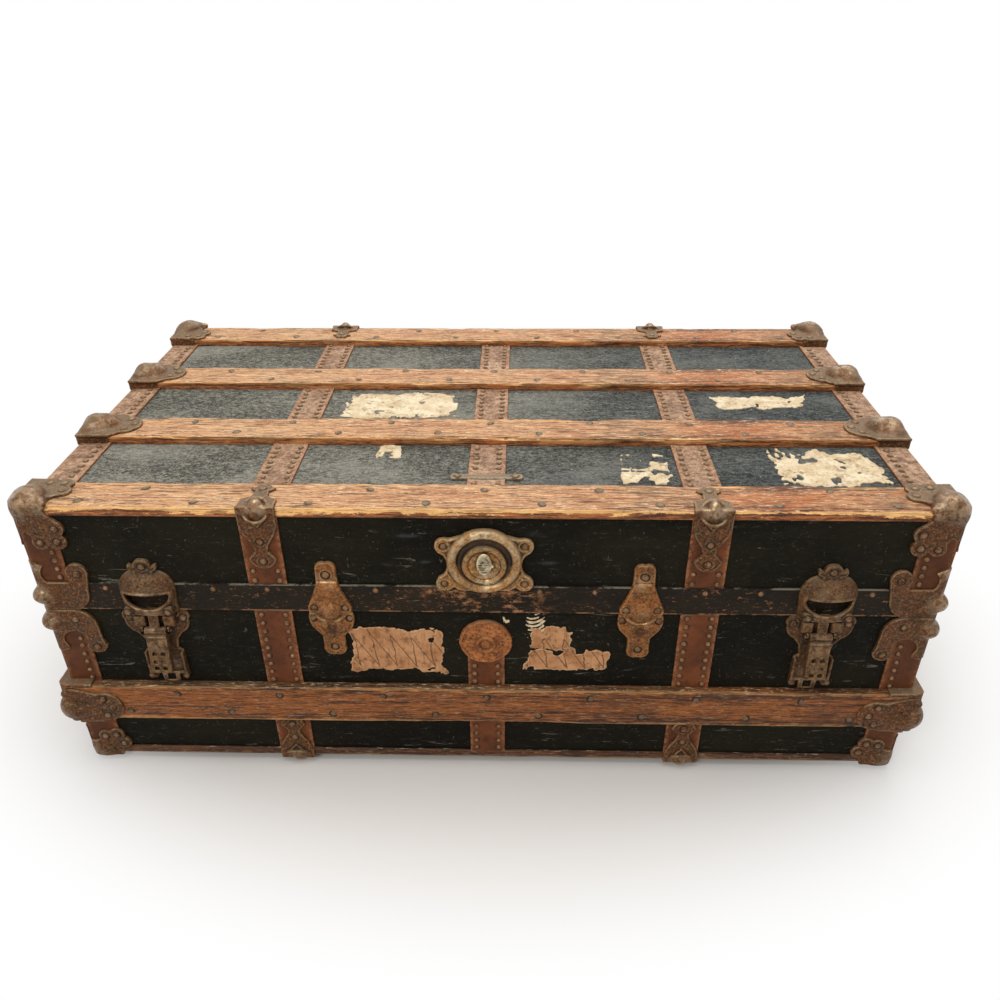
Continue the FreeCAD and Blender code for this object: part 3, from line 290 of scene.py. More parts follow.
class Finish(Tree):
    """A material with noise, masks and bumps measured in millimetres."""

    def __init__(self, name, **constants):
        self.material = bpy.data.materials.new(name)
        self.material.use_nodes = True
        super().__init__(self.material.node_tree)
        self.shader = self.tree.nodes["Principled BSDF"]
        for socket, value in constants.items():
            self.shader.inputs[socket.replace("_", " ")].default_value = value
        self.place = self.node("ShaderNodeTexCoord", {}, {}, "Object")
        self.facing = self.node("ShaderNodeTexCoord", {}, {}, "Normal")

    def along(self, attribute):
        """Patterns from here on read a stored position, such as one that runs with a board."""
        self.place = self.node("ShaderNodeAttribute", {"attribute_name": attribute}, {}, "Vector")
        return self

    def mark(self, attribute):
        return self.node("ShaderNodeAttribute", {"attribute_name": attribute}, {}, "Fac")

    def at(self, size, shift, stretch=(1, 1, 1)):
        """The place on the surface, counted in pattern cells of the size given."""
        scale = tuple(1 / (size * MM * s) for s in stretch)
        inputs = {0: self.place, 1: scale, 2: (shift, shift * 0.7, shift * 1.3)}
        return self.node("ShaderNodeVectorMath", {"operation": "MULTIPLY_ADD"}, inputs)

    def noise(self, size, shift, detail, rough=0.55, stretch=(1, 1, 1), warp=0.0):
        inputs = {"Vector": self.at(size, shift, stretch), "Scale": 1.0, "Detail": detail}
        return self.node("ShaderNodeTexNoise", {}, inputs | {"Roughness": rough, "Distortion": warp})

    def cells(self, size, shift):
        inputs = {"Vector": self.at(size, shift), "Scale": 1.0}
        return self.node("ShaderNodeTexVoronoi", {"feature": "F1"}, inputs, "Distance")

    def colours(self, value, *stops):
        stops = [(place, tone(colour)) for place, colour in stops]
        return self.node("ShaderNodeValToRGB", {"stops": stops}, {"Fac": value})

    def mix(self, mask, under, over):
        """The colour under, painted with the colour over where the mask is 1."""
        inputs = {"Factor": mask, 6: tone(under), 7: tone(over)}
        return self.node("ShaderNodeMix", {"data_type": "RGBA"}, inputs, 2)

    def coat(self, mask, over):
        """Paints what the finish has so far with one more colour."""
        self.colour = self.mix(mask, self.colour, over)

    def dust_and_top_light(self, high=0.95):
        """1 on what faces up and 0 on what stands upright. The finishes lay dust with it, and some also the
        lighter colour painted on tops for the light that falls on them.
        """
        return self.facing.part("Z").rise(0.5, high)

    def bumped(self, *heights):
        """Lays bumps over each other. Each is a height from 0 to 1 and its depth in millimetres."""
        normal = None
        for height, depth in heights:
            inputs = {"Height": height, "Distance": depth * MM, "Strength": 1.0}
            if normal:
                inputs["Normal"] = normal
            normal = self.node("ShaderNodeBump", {}, inputs, "Normal")
        self.wear(Normal=normal)

    def wear(self, **sockets):
        """Links what varies over the surface to the shader."""
        for name, wire in sockets.items():
            self.tree.links.new(wire.socket, self.shader.inputs[name.replace("_", " ")])

    def worn(self, rough):
        """The material, once its colour is painted."""
        self.wear(Base_Color=self.colour, Roughness=rough)
        return self.material


# %% [markdown]
# ## A strip swept along a path
# Slats, fibre straps and the steel rim band are all one section drawn along a line. Extruding each by hand
# would work, but a Geometry Nodes sweep keeps the section and the path apart, so both stay easy to change.
# The tree turns the path into a curve, keeps the section's outer side outwards, sweeps it, and then roughens
# it: long splinters are bitten out of the marked edges, and the faces ripple a little. It also stores `grain`,
# a place counted along the strip, across it and through it, which lets wood grain follow any board.

# %% The sweep tree
class Growth(Tree):
    """A geometry tree with named inputs."""

    def __init__(self, name, **sockets):
        group = bpy.data.node_groups.new(name, "GeometryNodeTree")
        for socket, kind in sockets.items():
            title = socket.replace("_", " ")
            group.interface.new_socket(title, in_out="INPUT", socket_type="NodeSocket" + kind)
        group.interface.new_socket("Grown", in_out="OUTPUT", socket_type="NodeSocketGeometry")
        super().__init__(group)
        self.node("NodeGroupInput")
        self.given = {s.name: Wire(self, s) for s in self.last.outputs}

    def stored(self, name, kind="FLOAT"):
        return self.node("GeometryNodeInputNamedAttribute", {"data_type": kind}, {"Name": name})

    def store(self, geometry, name, value, kind="FLOAT"):
        inputs = {"Geometry": geometry, "Name": name, "Value": value}
        return self.node("GeometryNodeStoreNamedAttribute", {"data_type": kind, "domain": "POINT"}, inputs)

    def finished(self, geometry):
        """Ends the tree: instances become plain mesh, and all of it gets the finish."""
        real = self.node("GeometryNodeRealizeInstances", {}, {0: geometry})
        painted = self.node("GeometryNodeSetMaterial", {}, {"Geometry": real, "Material": self.given["Finish"]})
        self.node("NodeGroupOutput", {}, {0: painted})
        return self.tree


def sweep_tree():
    numbers = dict.fromkeys(("Ripple", "Chip", "Chip_length", "Seed", "Chip_share"), "Float")
    t = Growth("Swept strip", Path="Geometry", Section="Object", **numbers, Finish="Material")
    given, stored, store = t.given, t.stored, t.store
    curve = t.node("GeometryNodeMeshToCurve", {}, {0: given["Path"]})
    outward = stored("out", "FLOAT_VECTOR")
    curve = t.node("GeometryNodeSetCurveNormal", {"mode": "FREE"}, {0: curve, "Normal": outward})
    curve = store(curve, "run", t.node("GeometryNodeSplineParameter", {}, {}, "Length"))
    section = t.node("GeometryNodeObjectInfo", {}, {"Object": given["Section"]}, "Geometry")
    spot = t.node("GeometryNodeInputPosition")
    section = store(section, "through", spot.part("X"))
    section = store(section, "across", spot.part("Y"))
    section = t.node("GeometryNodeMeshToCurve", {}, {0: section})
    strip = t.node("GeometryNodeCurveToMesh", {}, {"Curve": curve, "Profile Curve": section, "Fill Caps": True})
    grain = t.node("ShaderNodeCombineXYZ", {}, {0: stored("run"), 1: stored("across"), 2: stored("through")})
    strip = store(strip, "grain", grain, "FLOAT_VECTOR")
    seed = given["Seed"]
    shift = t.node("ShaderNodeCombineXYZ", {}, {0: seed, 1: seed * 0.37, 2: seed * 0.61})
    grain = stored("grain", "FLOAT_VECTOR")
    place = t.node("ShaderNodeVectorMath", {"operation": "ADD"}, {0: grain, 1: shift})

    def noise(cell, detail):
        stretched = t.node("ShaderNodeVectorMath", {"operation": "DIVIDE"}, {0: place, 1: cell})
        return t.node("ShaderNodeTexNoise", {}, {"Vector": stretched, "Scale": 1.0, "Detail": detail})

    long_cell = t.node("ShaderNodeCombineXYZ", {}, {0: given["Chip length"], 1: 0.004, 2: 0.004})
    torn = noise(long_cell, 4.0)
    bite = stored("edge") * (torn + given["Chip share"]).rise(0.52, 0.64)
    ripple = (noise((0.05, 0.012, 0.012), 3.0) - 0.5) * given["Ripple"]
    strip = store(strip, "bite", bite)
    depth = ripple - stored("bite") * given["Chip"] * (0.4 + noise((0.006, 0.002, 0.002), 2.0))
    out = t.node("GeometryNodeInputNormal")
    offset = t.node("ShaderNodeVectorMath", {"operation": "SCALE"}, {0: out, "Scale": depth})
    strip = t.node("GeometryNodeSetPosition", {}, {"Geometry": strip, "Offset": offset})
    return t.finished(strip)


SWEEP = sweep_tree()


def loose_mesh(name, points, edges, **marks):
    """A throwaway object of points and edges, in millimetres."""
    mesh = bpy.data.meshes.new(name)
    mesh.from_pydata([tuple(p) for p in np.asarray(points, float) * MM], edges, [])
    for mark, values in marks.items():
        note(mesh, mark, values)
    obj = bpy.data.objects.new(name, mesh)
    bpy.context.scene.collection.objects.link(obj)
    return obj


def grown(obj, group, values, marks=()):
    """Runs a geometry tree on a throwaway object and returns its result as a chunk."""
    modifier = obj.modifiers.new("Grow", "NODES")
    modifier.node_group = group
    for item in group.interface.items_tree:
        if item.in_out == "INPUT" and item.name in values:
            modifier[item.identifier] = values[item.name]
    obj.update_tag()
    view = bpy.context.evaluated_depsgraph_get()
    mesh = bpy.data.meshes.new_from_object(obj.evaluated_get(view))
    points = read(mesh.vertices, "co", 3)
    loops = read(mesh.loops, "vertex_index", kind=np.int32)
    starts, sizes = (read(mesh.polygons, "loop_" + field, kind=np.int32) for field in ("start", "total"))
    faces = [loops[starts[sizes == n][:, None] + np.arange(n)] for n in np.unique(sizes)]
    kept = {}
    for mark in marks:
        layer = mesh.attributes[mark]
        field, width = ("vector", 3) if layer.data_type == "FLOAT_VECTOR" else ("value", 1)
        kept[mark] = read(layer.data, field, width)
    obj.modifiers.clear()
    bpy.data.meshes.remove(mesh)
    bpy.data.objects.remove(obj)
    return Chunk(points / MM, faces, **kept)


def run_of(points, closed=False):
    edges = [(n, n + 1) for n in range(len(points) - 1)]
    return edges + [(len(points) - 1, 0)] if closed else edges


def swept(path, outs, section, edge, finish, ripple=0.3, chip=0.0, chip_length=60.0, share=0.0, seed=0.0,
          ring=False):
    """Sweeps a closed section, (out, across) in millimetres, along a path."""
    section = np.asarray(section, float)
    flat = loose_mesh("section", np.c_[section, np.zeros(len(section))], run_of(section, True), edge=edge)
    line = loose_mesh("path", path, run_of(path, ring), out=outs)
    values = {"Section": flat, "Ripple": ripple * MM, "Chip": chip * MM, "Chip length": chip_length * MM}
    values |= {"Seed": float(seed), "Chip share": float(share), "Finish": finish}
    chunk = grown(line, SWEEP, values, ("grain", "edge", "bite"))
    bpy.data.objects.remove(flat)
    if volume_of(chunk) > 0:
        return chunk
    return Chunk(chunk.points, [block[:, ::-1] for block in chunk.faces], **chunk.marks)


def volume_of(chunk):
    """Six times the volume inside a chunk: below 0 if its faces point inwards."""
    total = 0.0
    for block in chunk.faces:
        a = chunk.points[block[:, 0]]
        for n in range(1, block.shape[1] - 1):
            total += (a * np.cross(chunk.points[block[:, n]], chunk.points[block[:, n + 1]])).sum()
    return total


def bar_section(thick, wide, round_by, spacing=3.0, lip=0.0):
    """A rounded rectangle, (out, across), with a mark that is 1 at its corners, and a raised rim if asked."""
    half_t, half_w = thick / 2, wide / 2
    points, edge = [], []
    corners = [(half_t, half_w, 0), (-half_t, half_w, 90), (-half_t, -half_w, 180), (half_t, -half_w, 270)]
    for n, (u, v, start) in enumerate(corners):
        cu, cv = u - math.copysign(round_by, u), v - math.copysign(round_by, v)
        for step in range(4):
            angle = math.radians(start + step * 30)
            points.append((cu + round_by * math.cos(angle), cv + round_by * math.sin(angle)))
            edge.append(1.0)
        u2, v2, _ = corners[(n + 1) % 4]
        ahead = (u2 - math.copysign(round_by, u2), v2 - math.copysign(round_by, v2))
        angle = math.radians(start + 90)
        begin = np.array(points[-1])
        end = np.array([ahead[0] + round_by * math.cos(angle), ahead[1] + round_by * math.sin(angle)])
        length = float(np.linalg.norm(end - begin))
        count = max(1, round(length / spacing))
        for k in range(1, count):
            spot = begin + (end - begin) * k / count
            near = min(k, count - k) * length / count
            points.append(tuple(spot))
            edge.append(max(0.0, 1 - near / 4.0))
    points = np.array(points)
    raised = np.clip((np.abs(points[:, 1]) - (half_w - 4.5)) / 1.5, 0, 1) * (points[:, 0] > 0)
    points[:, 0] += lip * raised
    return points, np.array(edge)


# %% [markdown]
# ## Heads that are driven in
# There are more than a thousand nails and rivets. One head is instanced on a point for each, tipped a little at
# random because hammers are never square, and realised into plain mesh. Each head is a squashed ball whose
# lower half is buried, so it costs few faces and has no seam. A flat ring round its foot is marked as a hollow,
# so the finish paints it dark as the head's shadow.

# %% The head tree
def heads_tree():
    sizes = dict.fromkeys(("Radius", "Height", "Tip"), "Float") | dict.fromkeys(("Seed", "Segments"), "Int")
    t = Growth("Driven heads", Places="Geometry", **sizes, Finish="Material")
    given = t.given
    dome = t.node("GeometryNodeMeshUVSphere", {}, {"Segments": given["Segments"], "Rings": 6, "Radius": 1.0})
    dome = t.store(dome, "edge", t.node("GeometryNodeInputPosition").part("Z") * 0.52)
    # A flat ring round the foot, marked as a hollow so that it is painted dark as the head's shadow.
    stain = {"Vertices": given["Segments"], "Radius Top": 1.3, "Radius Bottom": 1.42, "Depth": 0.13}
    stain = t.store(t.node("GeometryNodeMeshCone", {}, stain), "edge", -0.26)
    ball = t.node("GeometryNodeJoinGeometry", {}, {0: [dome, stain]})

    def random(low, high, shift):
        seed = given["Seed"] + shift
        return t.node("FunctionNodeRandomValue", {"data_type": "FLOAT"}, {2: low, 3: high, "Seed": seed}, 1)

    tips = [random(-1.0, 1.0, n) * given["Tip"] for n in (1, 2, 3)]
    tipped = t.node("ShaderNodeCombineXYZ", {}, dict(enumerate(tips)))
    outward = t.stored("out", "FLOAT_VECTOR")
    tipped = t.node("ShaderNodeVectorMath", {"operation": "ADD"}, {0: outward, 1: tipped})
    turn = t.node("FunctionNodeAlignRotationToVector", {"axis": "Z"}, {"Vector": tipped})
    width = given["Radius"] * random(0.9, 1.06, 4)
    size = t.node("ShaderNodeCombineXYZ", {}, {0: width, 1: width, 2: given["Height"] * random(0.75, 1.0, 5)})
    inputs = {"Points": given["Places"], "Instance": ball, "Rotation": turn, "Scale": size}
    return t.finished(t.node("GeometryNodeInstanceOnPoints", {}, inputs))


HEADS = heads_tree()


def heads_of(node):
    """Where each head in a CAD node sits, and which way it faces."""
    low, high = islands(node)
    middle, extent = (low + high) / 2, high - low
    axis = extent.argmin(1)
    rows = np.arange(len(low))
    centre = np.array([0, 0, (BOX_BOTTOM + LID_TOP) / 2])
    out = np.zeros_like(middle)
    out[rows, axis] = np.sign((middle - centre)[rows, axis])
    return middle - out * extent[rows, axis][:, None] / 2, out


def corner_heads(heights, inset=27.0):
    """Seats of heads on both faces of all four corners, inset from the corner, and the way each faces."""
    seat, out = [], []
    for z in heights:
        for side in (-1, 1):
            for end in (-1, 1):
                seat.append((end * (FIBRE_X - inset), side * FIBRE_Y, z))
                seat.append((end * FIBRE_X, side * (FIBRE_Y - inset), z))
                out += [(0, side, 0), (end, 0, 0)]
    return np.array(seat, float), np.array(out, float)


def heads(name, body, slot, finish, radius, height, seed, segments=10, corners=()):
    """New heads of a radius and height in millimetres, where the CAD node has its own and up the corners."""
    seat, out = heads_of(name.lower())
    if corners:
        more_seats, more_outs = corner_heads(corners)
        seat, out = np.r_[seat, more_seats], np.r_[out, more_outs]
    points = loose_mesh(name, seat, [], out=out)
    values = {"Radius": radius * MM, "Height": height * MM, "Tip": 0.12, "Seed": seed, "Segments": segments}
    piece(name, body, slot, finish, [grown(points, HEADS, values | {"Finish": finish}, ("edge",))])


# %% [markdown]
# ## Finishes: slat wood
# The slats are ash or elm, varnished once and worn since. Grain is noise stretched along the board: broad bands
# of light and dark, thin dark pores, and a weathered colour on what faces up, which on the lid's slats is made
# paler to stand also for the light that falls on their tops, with less of it towards the right. The bitten
# edges show bare pale wood. The pattern reads `grain`, so it runs along every slat whichever way that slat
# lies.

# %% Slat wood
PALE_WOOD = (255, 203, 134)


def slat_wood(name, light, middle, dark, aged, aged_dark, top_weathering_and_light, fray):
    f = Finish(name, Specular_IOR_Level=0.3).along("grain")
    broad = f.noise(22, 3.1, 4.0, 0.6, (14, 0.6, 1), 0.6)
    fibres = f.noise(2.6, 7.7, 6.0, 0.78, (13, 1, 1), 0.3)
    pores = f.noise(1.5, 1.9, 4.0, 0.75, (9, 1, 1))
    flecks = f.noise(1.7, 15.0, 4.0, 0.75, (7, 1, 1))
    grime = f.noise(46, 12.3, 6.0, 0.7, (3, 1, 1))
    ragged = f.noise(7, 5.5, 5.0, 0.75, (3, 1, 1))
    figure = broad * 0.35 + fibres * 0.65
    f.colour = f.colours(figure, (0.42, dark), (0.48, middle), (0.53, light), (0.60, middle))
    weathered_lit_top = f.colours(figure, (0.42, aged_dark), (0.50, aged), (0.60, aged_dark))
    up = f.dust_and_top_light()
    spot = f.node("ShaderNodeTexCoord", {}, {}, "Object")
    # Less of the top colour towards the right of the trunk.
    rightward_fade = spot.part("X").rise(-0.15, 0.42) * 0.5
    # What faces up takes a weathered colour. On the lid's slats it is paler, and that is partly painted light
    # on the tops.
    f.coat(up * (top_weathering_and_light - 0.06 - rightward_fade + (grime - 0.5) * 2.4).most(0.0).least(1.0), weathered_lit_top)
    f.coat(pores.rise(0.53, 0.62) * 0.75, (54, 32, 20))
    streaks = f.noise(5.0, 19.0, 5.0, 0.7, (24, 0.7, 1), 0.8)
    f.coat(streaks.rise(0.54, 0.64) * 0.68, (66, 38, 22))
    f.coat(flecks.rise(0.56, 0.64) * (0.2 + up * 0.52), (248, 222, 184))
    f.coat(grime.rise(0.53, 0.66) * 0.68, (60, 37, 23))
    front = (-f.facing.part("Y")).rise(0.35, 0.75)
    bite = f.mark("bite")
    bare = (f.mark("edge") * 0.9 + bite * 0.7 + (ragged - 0.5) * 2.4 + (broad - 0.5) * 1.6).rise(0.50, 0.62)
    exposed = 0.22 + (-spot.part("Y")).rise(0.15, 0.2) * 0.9
    bare = (bare * (0.1 + front * 0.9) * exposed * fray).least(1.0).most(bite.rise(0.2, 0.6) * 0.6 * fray)
    f.coat(bare * (fibres.rise(0.36, 0.55) * 0.6 + 0.4), PALE_WOOD)
    f.bumped((fibres, 1.0), (pores, 0.5), (broad, 0.8))
    return f.worn(0.46 + grime * 0.3 + bare * 0.2)


LID_WOOD = [(194, 120, 66), (140, 78, 40), (62, 34, 18), (244, 198, 150), (108, 68, 38)]
BOX_WOOD = [(164, 96, 40), (100, 54, 21), (40, 24, 14), (112, 86, 60), (40, 29, 20)]
UNDER_WOOD = [(112, 68, 38), (72, 42, 23), (34, 21, 13), (96, 76, 56), (40, 30, 22)]
LID_SLAT = slat_wood("Lid slat wood", *LID_WOOD, 0.8, 1.0)
BOX_SLAT = slat_wood("Box slat wood", *BOX_WOOD, 0.85, 0.22)
UNDER_SLAT = slat_wood("Bottom slat wood", *UNDER_WOOD, 0.85, 0.12)

# %% [markdown]
# ## Finishes: painted canvas
# Duck canvas glued to the boards and painted black. Age leaves it dull with a faint weave, rubs on the lid's
# top, fine pale scratches, and a soft sheen where hands have passed. What faces up is painted a lighter grey,
# partly as dust and partly as the light and sheen that the lid's top catches, and the ridges of the creases get
# a painted blue-grey highlight.

# %% Painted canvas
def canvas_finish():
    f = Finish("Painted canvas", Specular_IOR_Level=0.08)
    up = f.dust_and_top_light()
    cloud = f.noise(110, 2.2, 6.0, 0.66, (1.6, 1, 1))
    grain = f.noise(4.0, 9.3, 6.0, 0.78, (1.8, 1, 1))
    grit = f.noise(1.9, 3.3, 4.0, 0.8, (1.4, 1, 1))
    pebble = f.cells(2.6, 4.1)
    weave = f.noise(0.9, 0.0, 2.0, stretch=(14, 1, 1)) + f.noise(0.9, 5.0, 2.0, stretch=(1, 14, 14))
    f.colour = f.mix(cloud.rise(0.35, 0.7), (14, 11, 6), (30, 27, 17))
    f.coat(grain.rise(0.52, 0.68) * 0.5, (46, 44, 38))
    blue = f.place.part("X").rise(-0.25, 0.35)
    pale = f.mix(blue, (150, 148, 136), (100, 104, 103))
    speckle = grain * 0.4 + grit * 0.42 + cloud * 0.18
    grey = f.mix(speckle.rise(0.42, 0.61), f.mix(blue, (52, 53, 50), (33, 36, 35)), pale)
    grey = f.mix(cloud.rise(0.46, 0.66) * (0.4 - blue * 0.25), grey, (140, 139, 130))
    # What faces up is painted grey: partly dust, partly the light and sheen that the lid's top catches. The
    # grey is darker and bluer towards the right.
    f.coat(up, grey)
    rubs = f.noise(7, 23.0, 6.0, 0.8, (5, 1, 1), 0.5).rise(0.60, 0.70)
    f.coat(rubs * (0.12 + up * 0.5), (168, 166, 156))
    scratch = f.noise(3.0, 31.0, 5.0, 0.75, (18, 1, 3), 1.2).rise(0.62, 0.69)
    slanted = f.noise(2.6, 44.0, 5.0, 0.75, (3, 14, 9), 1.5).rise(0.65, 0.71)
    f.coat((scratch + slanted * 0.8).least(1.0) * (0.35 + up * 0.3), (150, 147, 134))
    specks = f.noise(3.2, 17.0, 3.0, 0.85).rise(0.66, 0.72)
    f.coat(specks * (0.2 + up * 0.75), (214, 208, 190))
    chips = f.noise(20, 61.0, 8.0, 0.8, (1.5, 1, 1)).rise(0.70, 0.72)
    f.coat(chips * (0.9 - up * 0.5), (140, 108, 80))
    crease = f.mark("edge")
    # The crease ridges get a painted blue-grey highlight, as well as a smoother surface.
    f.coat(crease.rise(0.4, 1.0) * 0.3, (86, 90, 96))
    f.bumped((pebble, 0.45), (weave, 0.14), (grain, 0.9))
    return f.worn(0.62 + cloud * 0.25 - grain * 0.1 - crease * 0.35)


CANVAS = canvas_finish()

# %% [markdown]
# ## Finishes: vulcanised fibre
# The straps and corner bindings are fibre: layers of cotton paper turned hard as horn, dyed red-brown. It
# scuffs to a dusty tan on top, which is also painted lighter for the light the tops catch, and its rims rub
# pale.

# %% Fibre
def fibre_finish():
    f = Finish("Vulcanised fibre", Specular_IOR_Level=0.18)
    up = f.dust_and_top_light()
    cloud = f.noise(60, 3.3, 6.0, 0.66)
    fine = f.noise(5, 8.8, 6.0, 0.76)
    grit = f.noise(1.8, 4.8, 4.0, 0.8)
    f.colour = f.mix(cloud.rise(0.3, 0.7), (78, 41, 22), (118, 66, 35))
    scuffed_and_lit_top = f.mix(fine.rise(0.36, 0.64), (136, 102, 78), (206, 176, 148))
    # What faces up is painted tan: partly scuffs and dust, partly the extra light that falls on the tops.
    f.coat(up * (0.75 + (cloud - 0.5) * 1.2).least(1.0), scuffed_and_lit_top)
    f.coat(f.noise(16, 14.0, 6.0, 0.75).rise(0.48, 0.66) * 0.6, (60, 36, 24))
    f.coat(grit.rise(0.55, 0.68) * 0.5, (46, 28, 20))
    corners = abs(f.place.part("X")).rise(0.40, 0.44) * (1.0 - up)
    f.coat(corners * 0.35, (56, 32, 18))
    f.coat(f.mark("edge") * fine.rise(0.40, 0.58) * 0.6, (176, 122, 84))
    specks = f.noise(2.6, 27.0, 3.0, 0.85).rise(0.67, 0.74)
    f.coat(specks * (0.3 + up * 0.4), (206, 180, 152))
    f.bumped((fine, 0.6), (grit, 0.3), (cloud, 0.8))
    return f.worn(0.5 + fine * 0.3)


FIBRE = fibre_finish()

# %% [markdown]
# ## Finishes: iron
# Cast clamps were japanned brown. Rust shows through in clouds, and hands, floors and luggage racks polish the
# knobs and rims to bare metal. Hollows are painted dark, partly as grime and partly as the shade that gathers
# in them. `edge` is how sharply the casting bends outwards at a point, below zero where it bends inwards; a
# second mark is above zero on the knobs and below zero in hollows painted dark, and noise breaks up both so the
# wear isn't drawn with a ruler.

# %% Iron
def iron_finish(name, rust, brown, dark, bright, polish=1.0, rim=0.55, grime=0.9):
    f = Finish(name, Specular_IOR_Level=0.2, Coat_Roughness=0.17)
    edge, shine = f.mark("edge"), f.mark("shine")
    handled = shine.most(0.0)
    cloud = f.noise(20, 6.6, 6.0, 0.7)
    patch = f.noise(8, 1.4, 5.0, 0.72)
    fine = f.noise(3.0, 2.7, 6.0, 0.78)
    grit = f.noise(1.7, 5.2, 4.0, 0.8)
    f.colour = f.mix(cloud.rise(0.36, 0.64), brown, rust)
    f.coat(fine.rise(0.48, 0.62) * 0.8, dark)
    f.coat(patch.rise(0.52, 0.66) * 0.5, dark)
    f.coat((1.0 - fine).rise(0.53, 0.66) * 0.34, bright)
    f.coat(grit.rise(0.54, 0.66) * 0.3, bright)
    # Dark paint where the casting bends inwards: partly grime, partly painted shade in creases and round heads.
    f.coat((-edge).rise(0.03, 0.32) * grime, (24, 17, 12))
    # Dark paint in the hollows marked below zero: partly grime, partly painted shade in recesses.
    f.coat((-shine).rise(0.1, 0.8) * 0.85, (30, 21, 15))
    dusty = f.dust_and_top_light(0.96) * (fine - 0.36).most(0.0) * (1.0 - shine * 0.7).most(0.0)
    f.coat((dusty * 2.2).least(1.0), (164, 148, 122))
    rubbed = edge.rise(0.12, 0.5) * patch.rise(0.38, 0.56) * rim
    polished = handled * (patch.rise(0.38, 0.62) * 0.95 + 0.03) * (0.4 + fine * 1.1)
    bare = (rubbed + polished).least(1.0) * polish
    f.coat(bare * 0.55, bright)
    pitted = 1.0 - handled * 0.7
    f.bumped((grit * pitted, 0.35), (fine * pitted, 0.7), (cloud * pitted, 1.0))
    f.wear(Coat_Weight=patch.rise(0.42, 0.58) * (0.1 + handled * 0.9) * polish, Metallic=0.15 + bare * 0.8)
    return f.worn(0.56 - bare * 0.2 - handled * 0.22 + fine * 0.1)


CAST_IRON = iron_finish("Cast iron", (102, 58, 25), (76, 48, 24), (27, 17, 9), (196, 164, 122), 0.9, 0.6)
BOLT_IRON = iron_finish("Drawbolt iron", (86, 54, 28), (70, 49, 28), (29, 20, 12), (188, 148, 102), 0.65, 0.65)
LOCK_BRASS = iron_finish("Lock brass", (170, 114, 56), (140, 108, 66), (58, 42, 27), (226, 208, 168), 0.95)
GUIDE_IRON = iron_finish("Guide iron", (146, 88, 42), (106, 68, 36), (42, 27, 15), (214, 166, 108), 0.75, 0.7)
RUST_PLATE = iron_finish("Rusted plate", (180, 112, 62), (126, 72, 38), (58, 34, 20), (206, 150, 100),
                         polish=0.4, rim=0.5, grime=0.35)
NAIL_STEEL = iron_finish("Nail steel", (124, 80, 48), (104, 70, 44), (52, 34, 22), (200, 158, 114), 0.65, 0.8)
SLAT_NAIL_STEEL = iron_finish("Slat nail steel", (96, 72, 50), (88, 68, 50), (42, 30, 21), (160, 136, 108))
COVER_METAL = iron_finish("Cover metal", (160, 136, 94), (168, 152, 114), (70, 58, 42), (236, 222, 186))
HINGE_STEEL = iron_finish("Hinge steel", (104, 70, 46), (84, 66, 50), (52, 40, 30), (170, 156, 136))
PIN_STEEL = iron_finish("Pin steel", (122, 102, 76), (112, 98, 80), (52, 46, 38), (196, 184, 162))

# %% [markdown]
# ## Finishes: the black rim band
# A flat steel band runs round the lid just above the split. Its black paint has chipped where the latches and
# hands have worked, down to rust, and both long edges are worn to metal; the upper edge also carries a painted
# highlight line.

# %% Rim band steel
def rim_band_finish():
    f = Finish("Black rim band", Specular_IOR_Level=0.14)
    height = f.place.part("Z")
    cloud = f.noise(40, 5.1, 6.0, 0.66, (1.5, 1, 1))
    fine = f.noise(4, 3.9, 6.0, 0.74, (1.6, 1, 1))
    f.colour = f.mix(cloud.rise(0.35, 0.7), (21, 15, 8), (37, 29, 18))
    middle = (-abs(f.place.part("X"))).rise(-0.09, -0.02)
    chipped = f.noise(10, 33.0, 8.0, 0.8, (2.2, 1, 1))
    small = f.noise(3.0, 57.0, 5.0, 0.82, (1.6, 1, 1))
    chips = chipped.rise(0.585, 0.63).most(middle * chipped.rise(0.50, 0.56))
    chips = chips.most(small.rise(0.58, 0.64) * cloud.rise(0.40, 0.52) * 0.9)
    f.coat(chips, f.mix(fine.rise(0.4, 0.62), (88, 54, 34), (172, 126, 86)))
    top_edge_wear_and_highlight = (height - (VALANCE_TOP - 1.6) * MM).rise(0.0, 0.0008)
    low_line = ((LID_BOTTOM + 2.2) * MM - height).rise(0.0, 0.0010)
    rubbed = f.noise(14, 18.0, 6.0, 0.78, (2, 1, 1))
    # Along the top edge, worn metal and a painted highlight line, broken up by noise.
    f.coat(top_edge_wear_and_highlight * rubbed.rise(0.47, 0.56) * 0.75, (128, 124, 110))
    f.coat(low_line * rubbed.rise(0.46, 0.55) * 0.85, (150, 108, 76))
    f.coat(f.noise(3, 71.0, 5.0, 0.75, (12, 1, 1.5), 1.4).rise(0.64, 0.70) * 0.6, (142, 122, 96))
    f.bumped((chips, 0.25), (fine, 0.3), (cloud, 0.9))
    return f.worn(0.5 + cloud * 0.25)


RIM_BAND = rim_band_finish()

# %% [markdown]
# ## Finishes: wood, paper and leather inside and at the ends
# The boards are plain softwood. The lining is printed paper, foxed and stained; a plain stripe stands in for
# the pattern. The tray is thin wood covered with the same paper. The handles are stitched leather.

# %% Board wood, lining paper, leather
STRIPE = 0.028


def board_finish():
    f = Finish("Softwood board", Specular_IOR_Level=0.3)
    rings = f.noise(7, 1.3, 4.0, 0.6, (20, 2.5, 2.5), 0.8)
    stain = f.noise(60, 8.1, 5.0, 0.65, (2, 1, 1))
    f.colour = f.mix(rings.rise(0.35, 0.65), (150, 112, 70), (186, 150, 104))
    f.coat(stain.rise(0.5, 0.7) * 0.6, (96, 66, 42))
    f.bumped((rings, 0.4))
    return f.worn(0.6 + rings * 0.2)


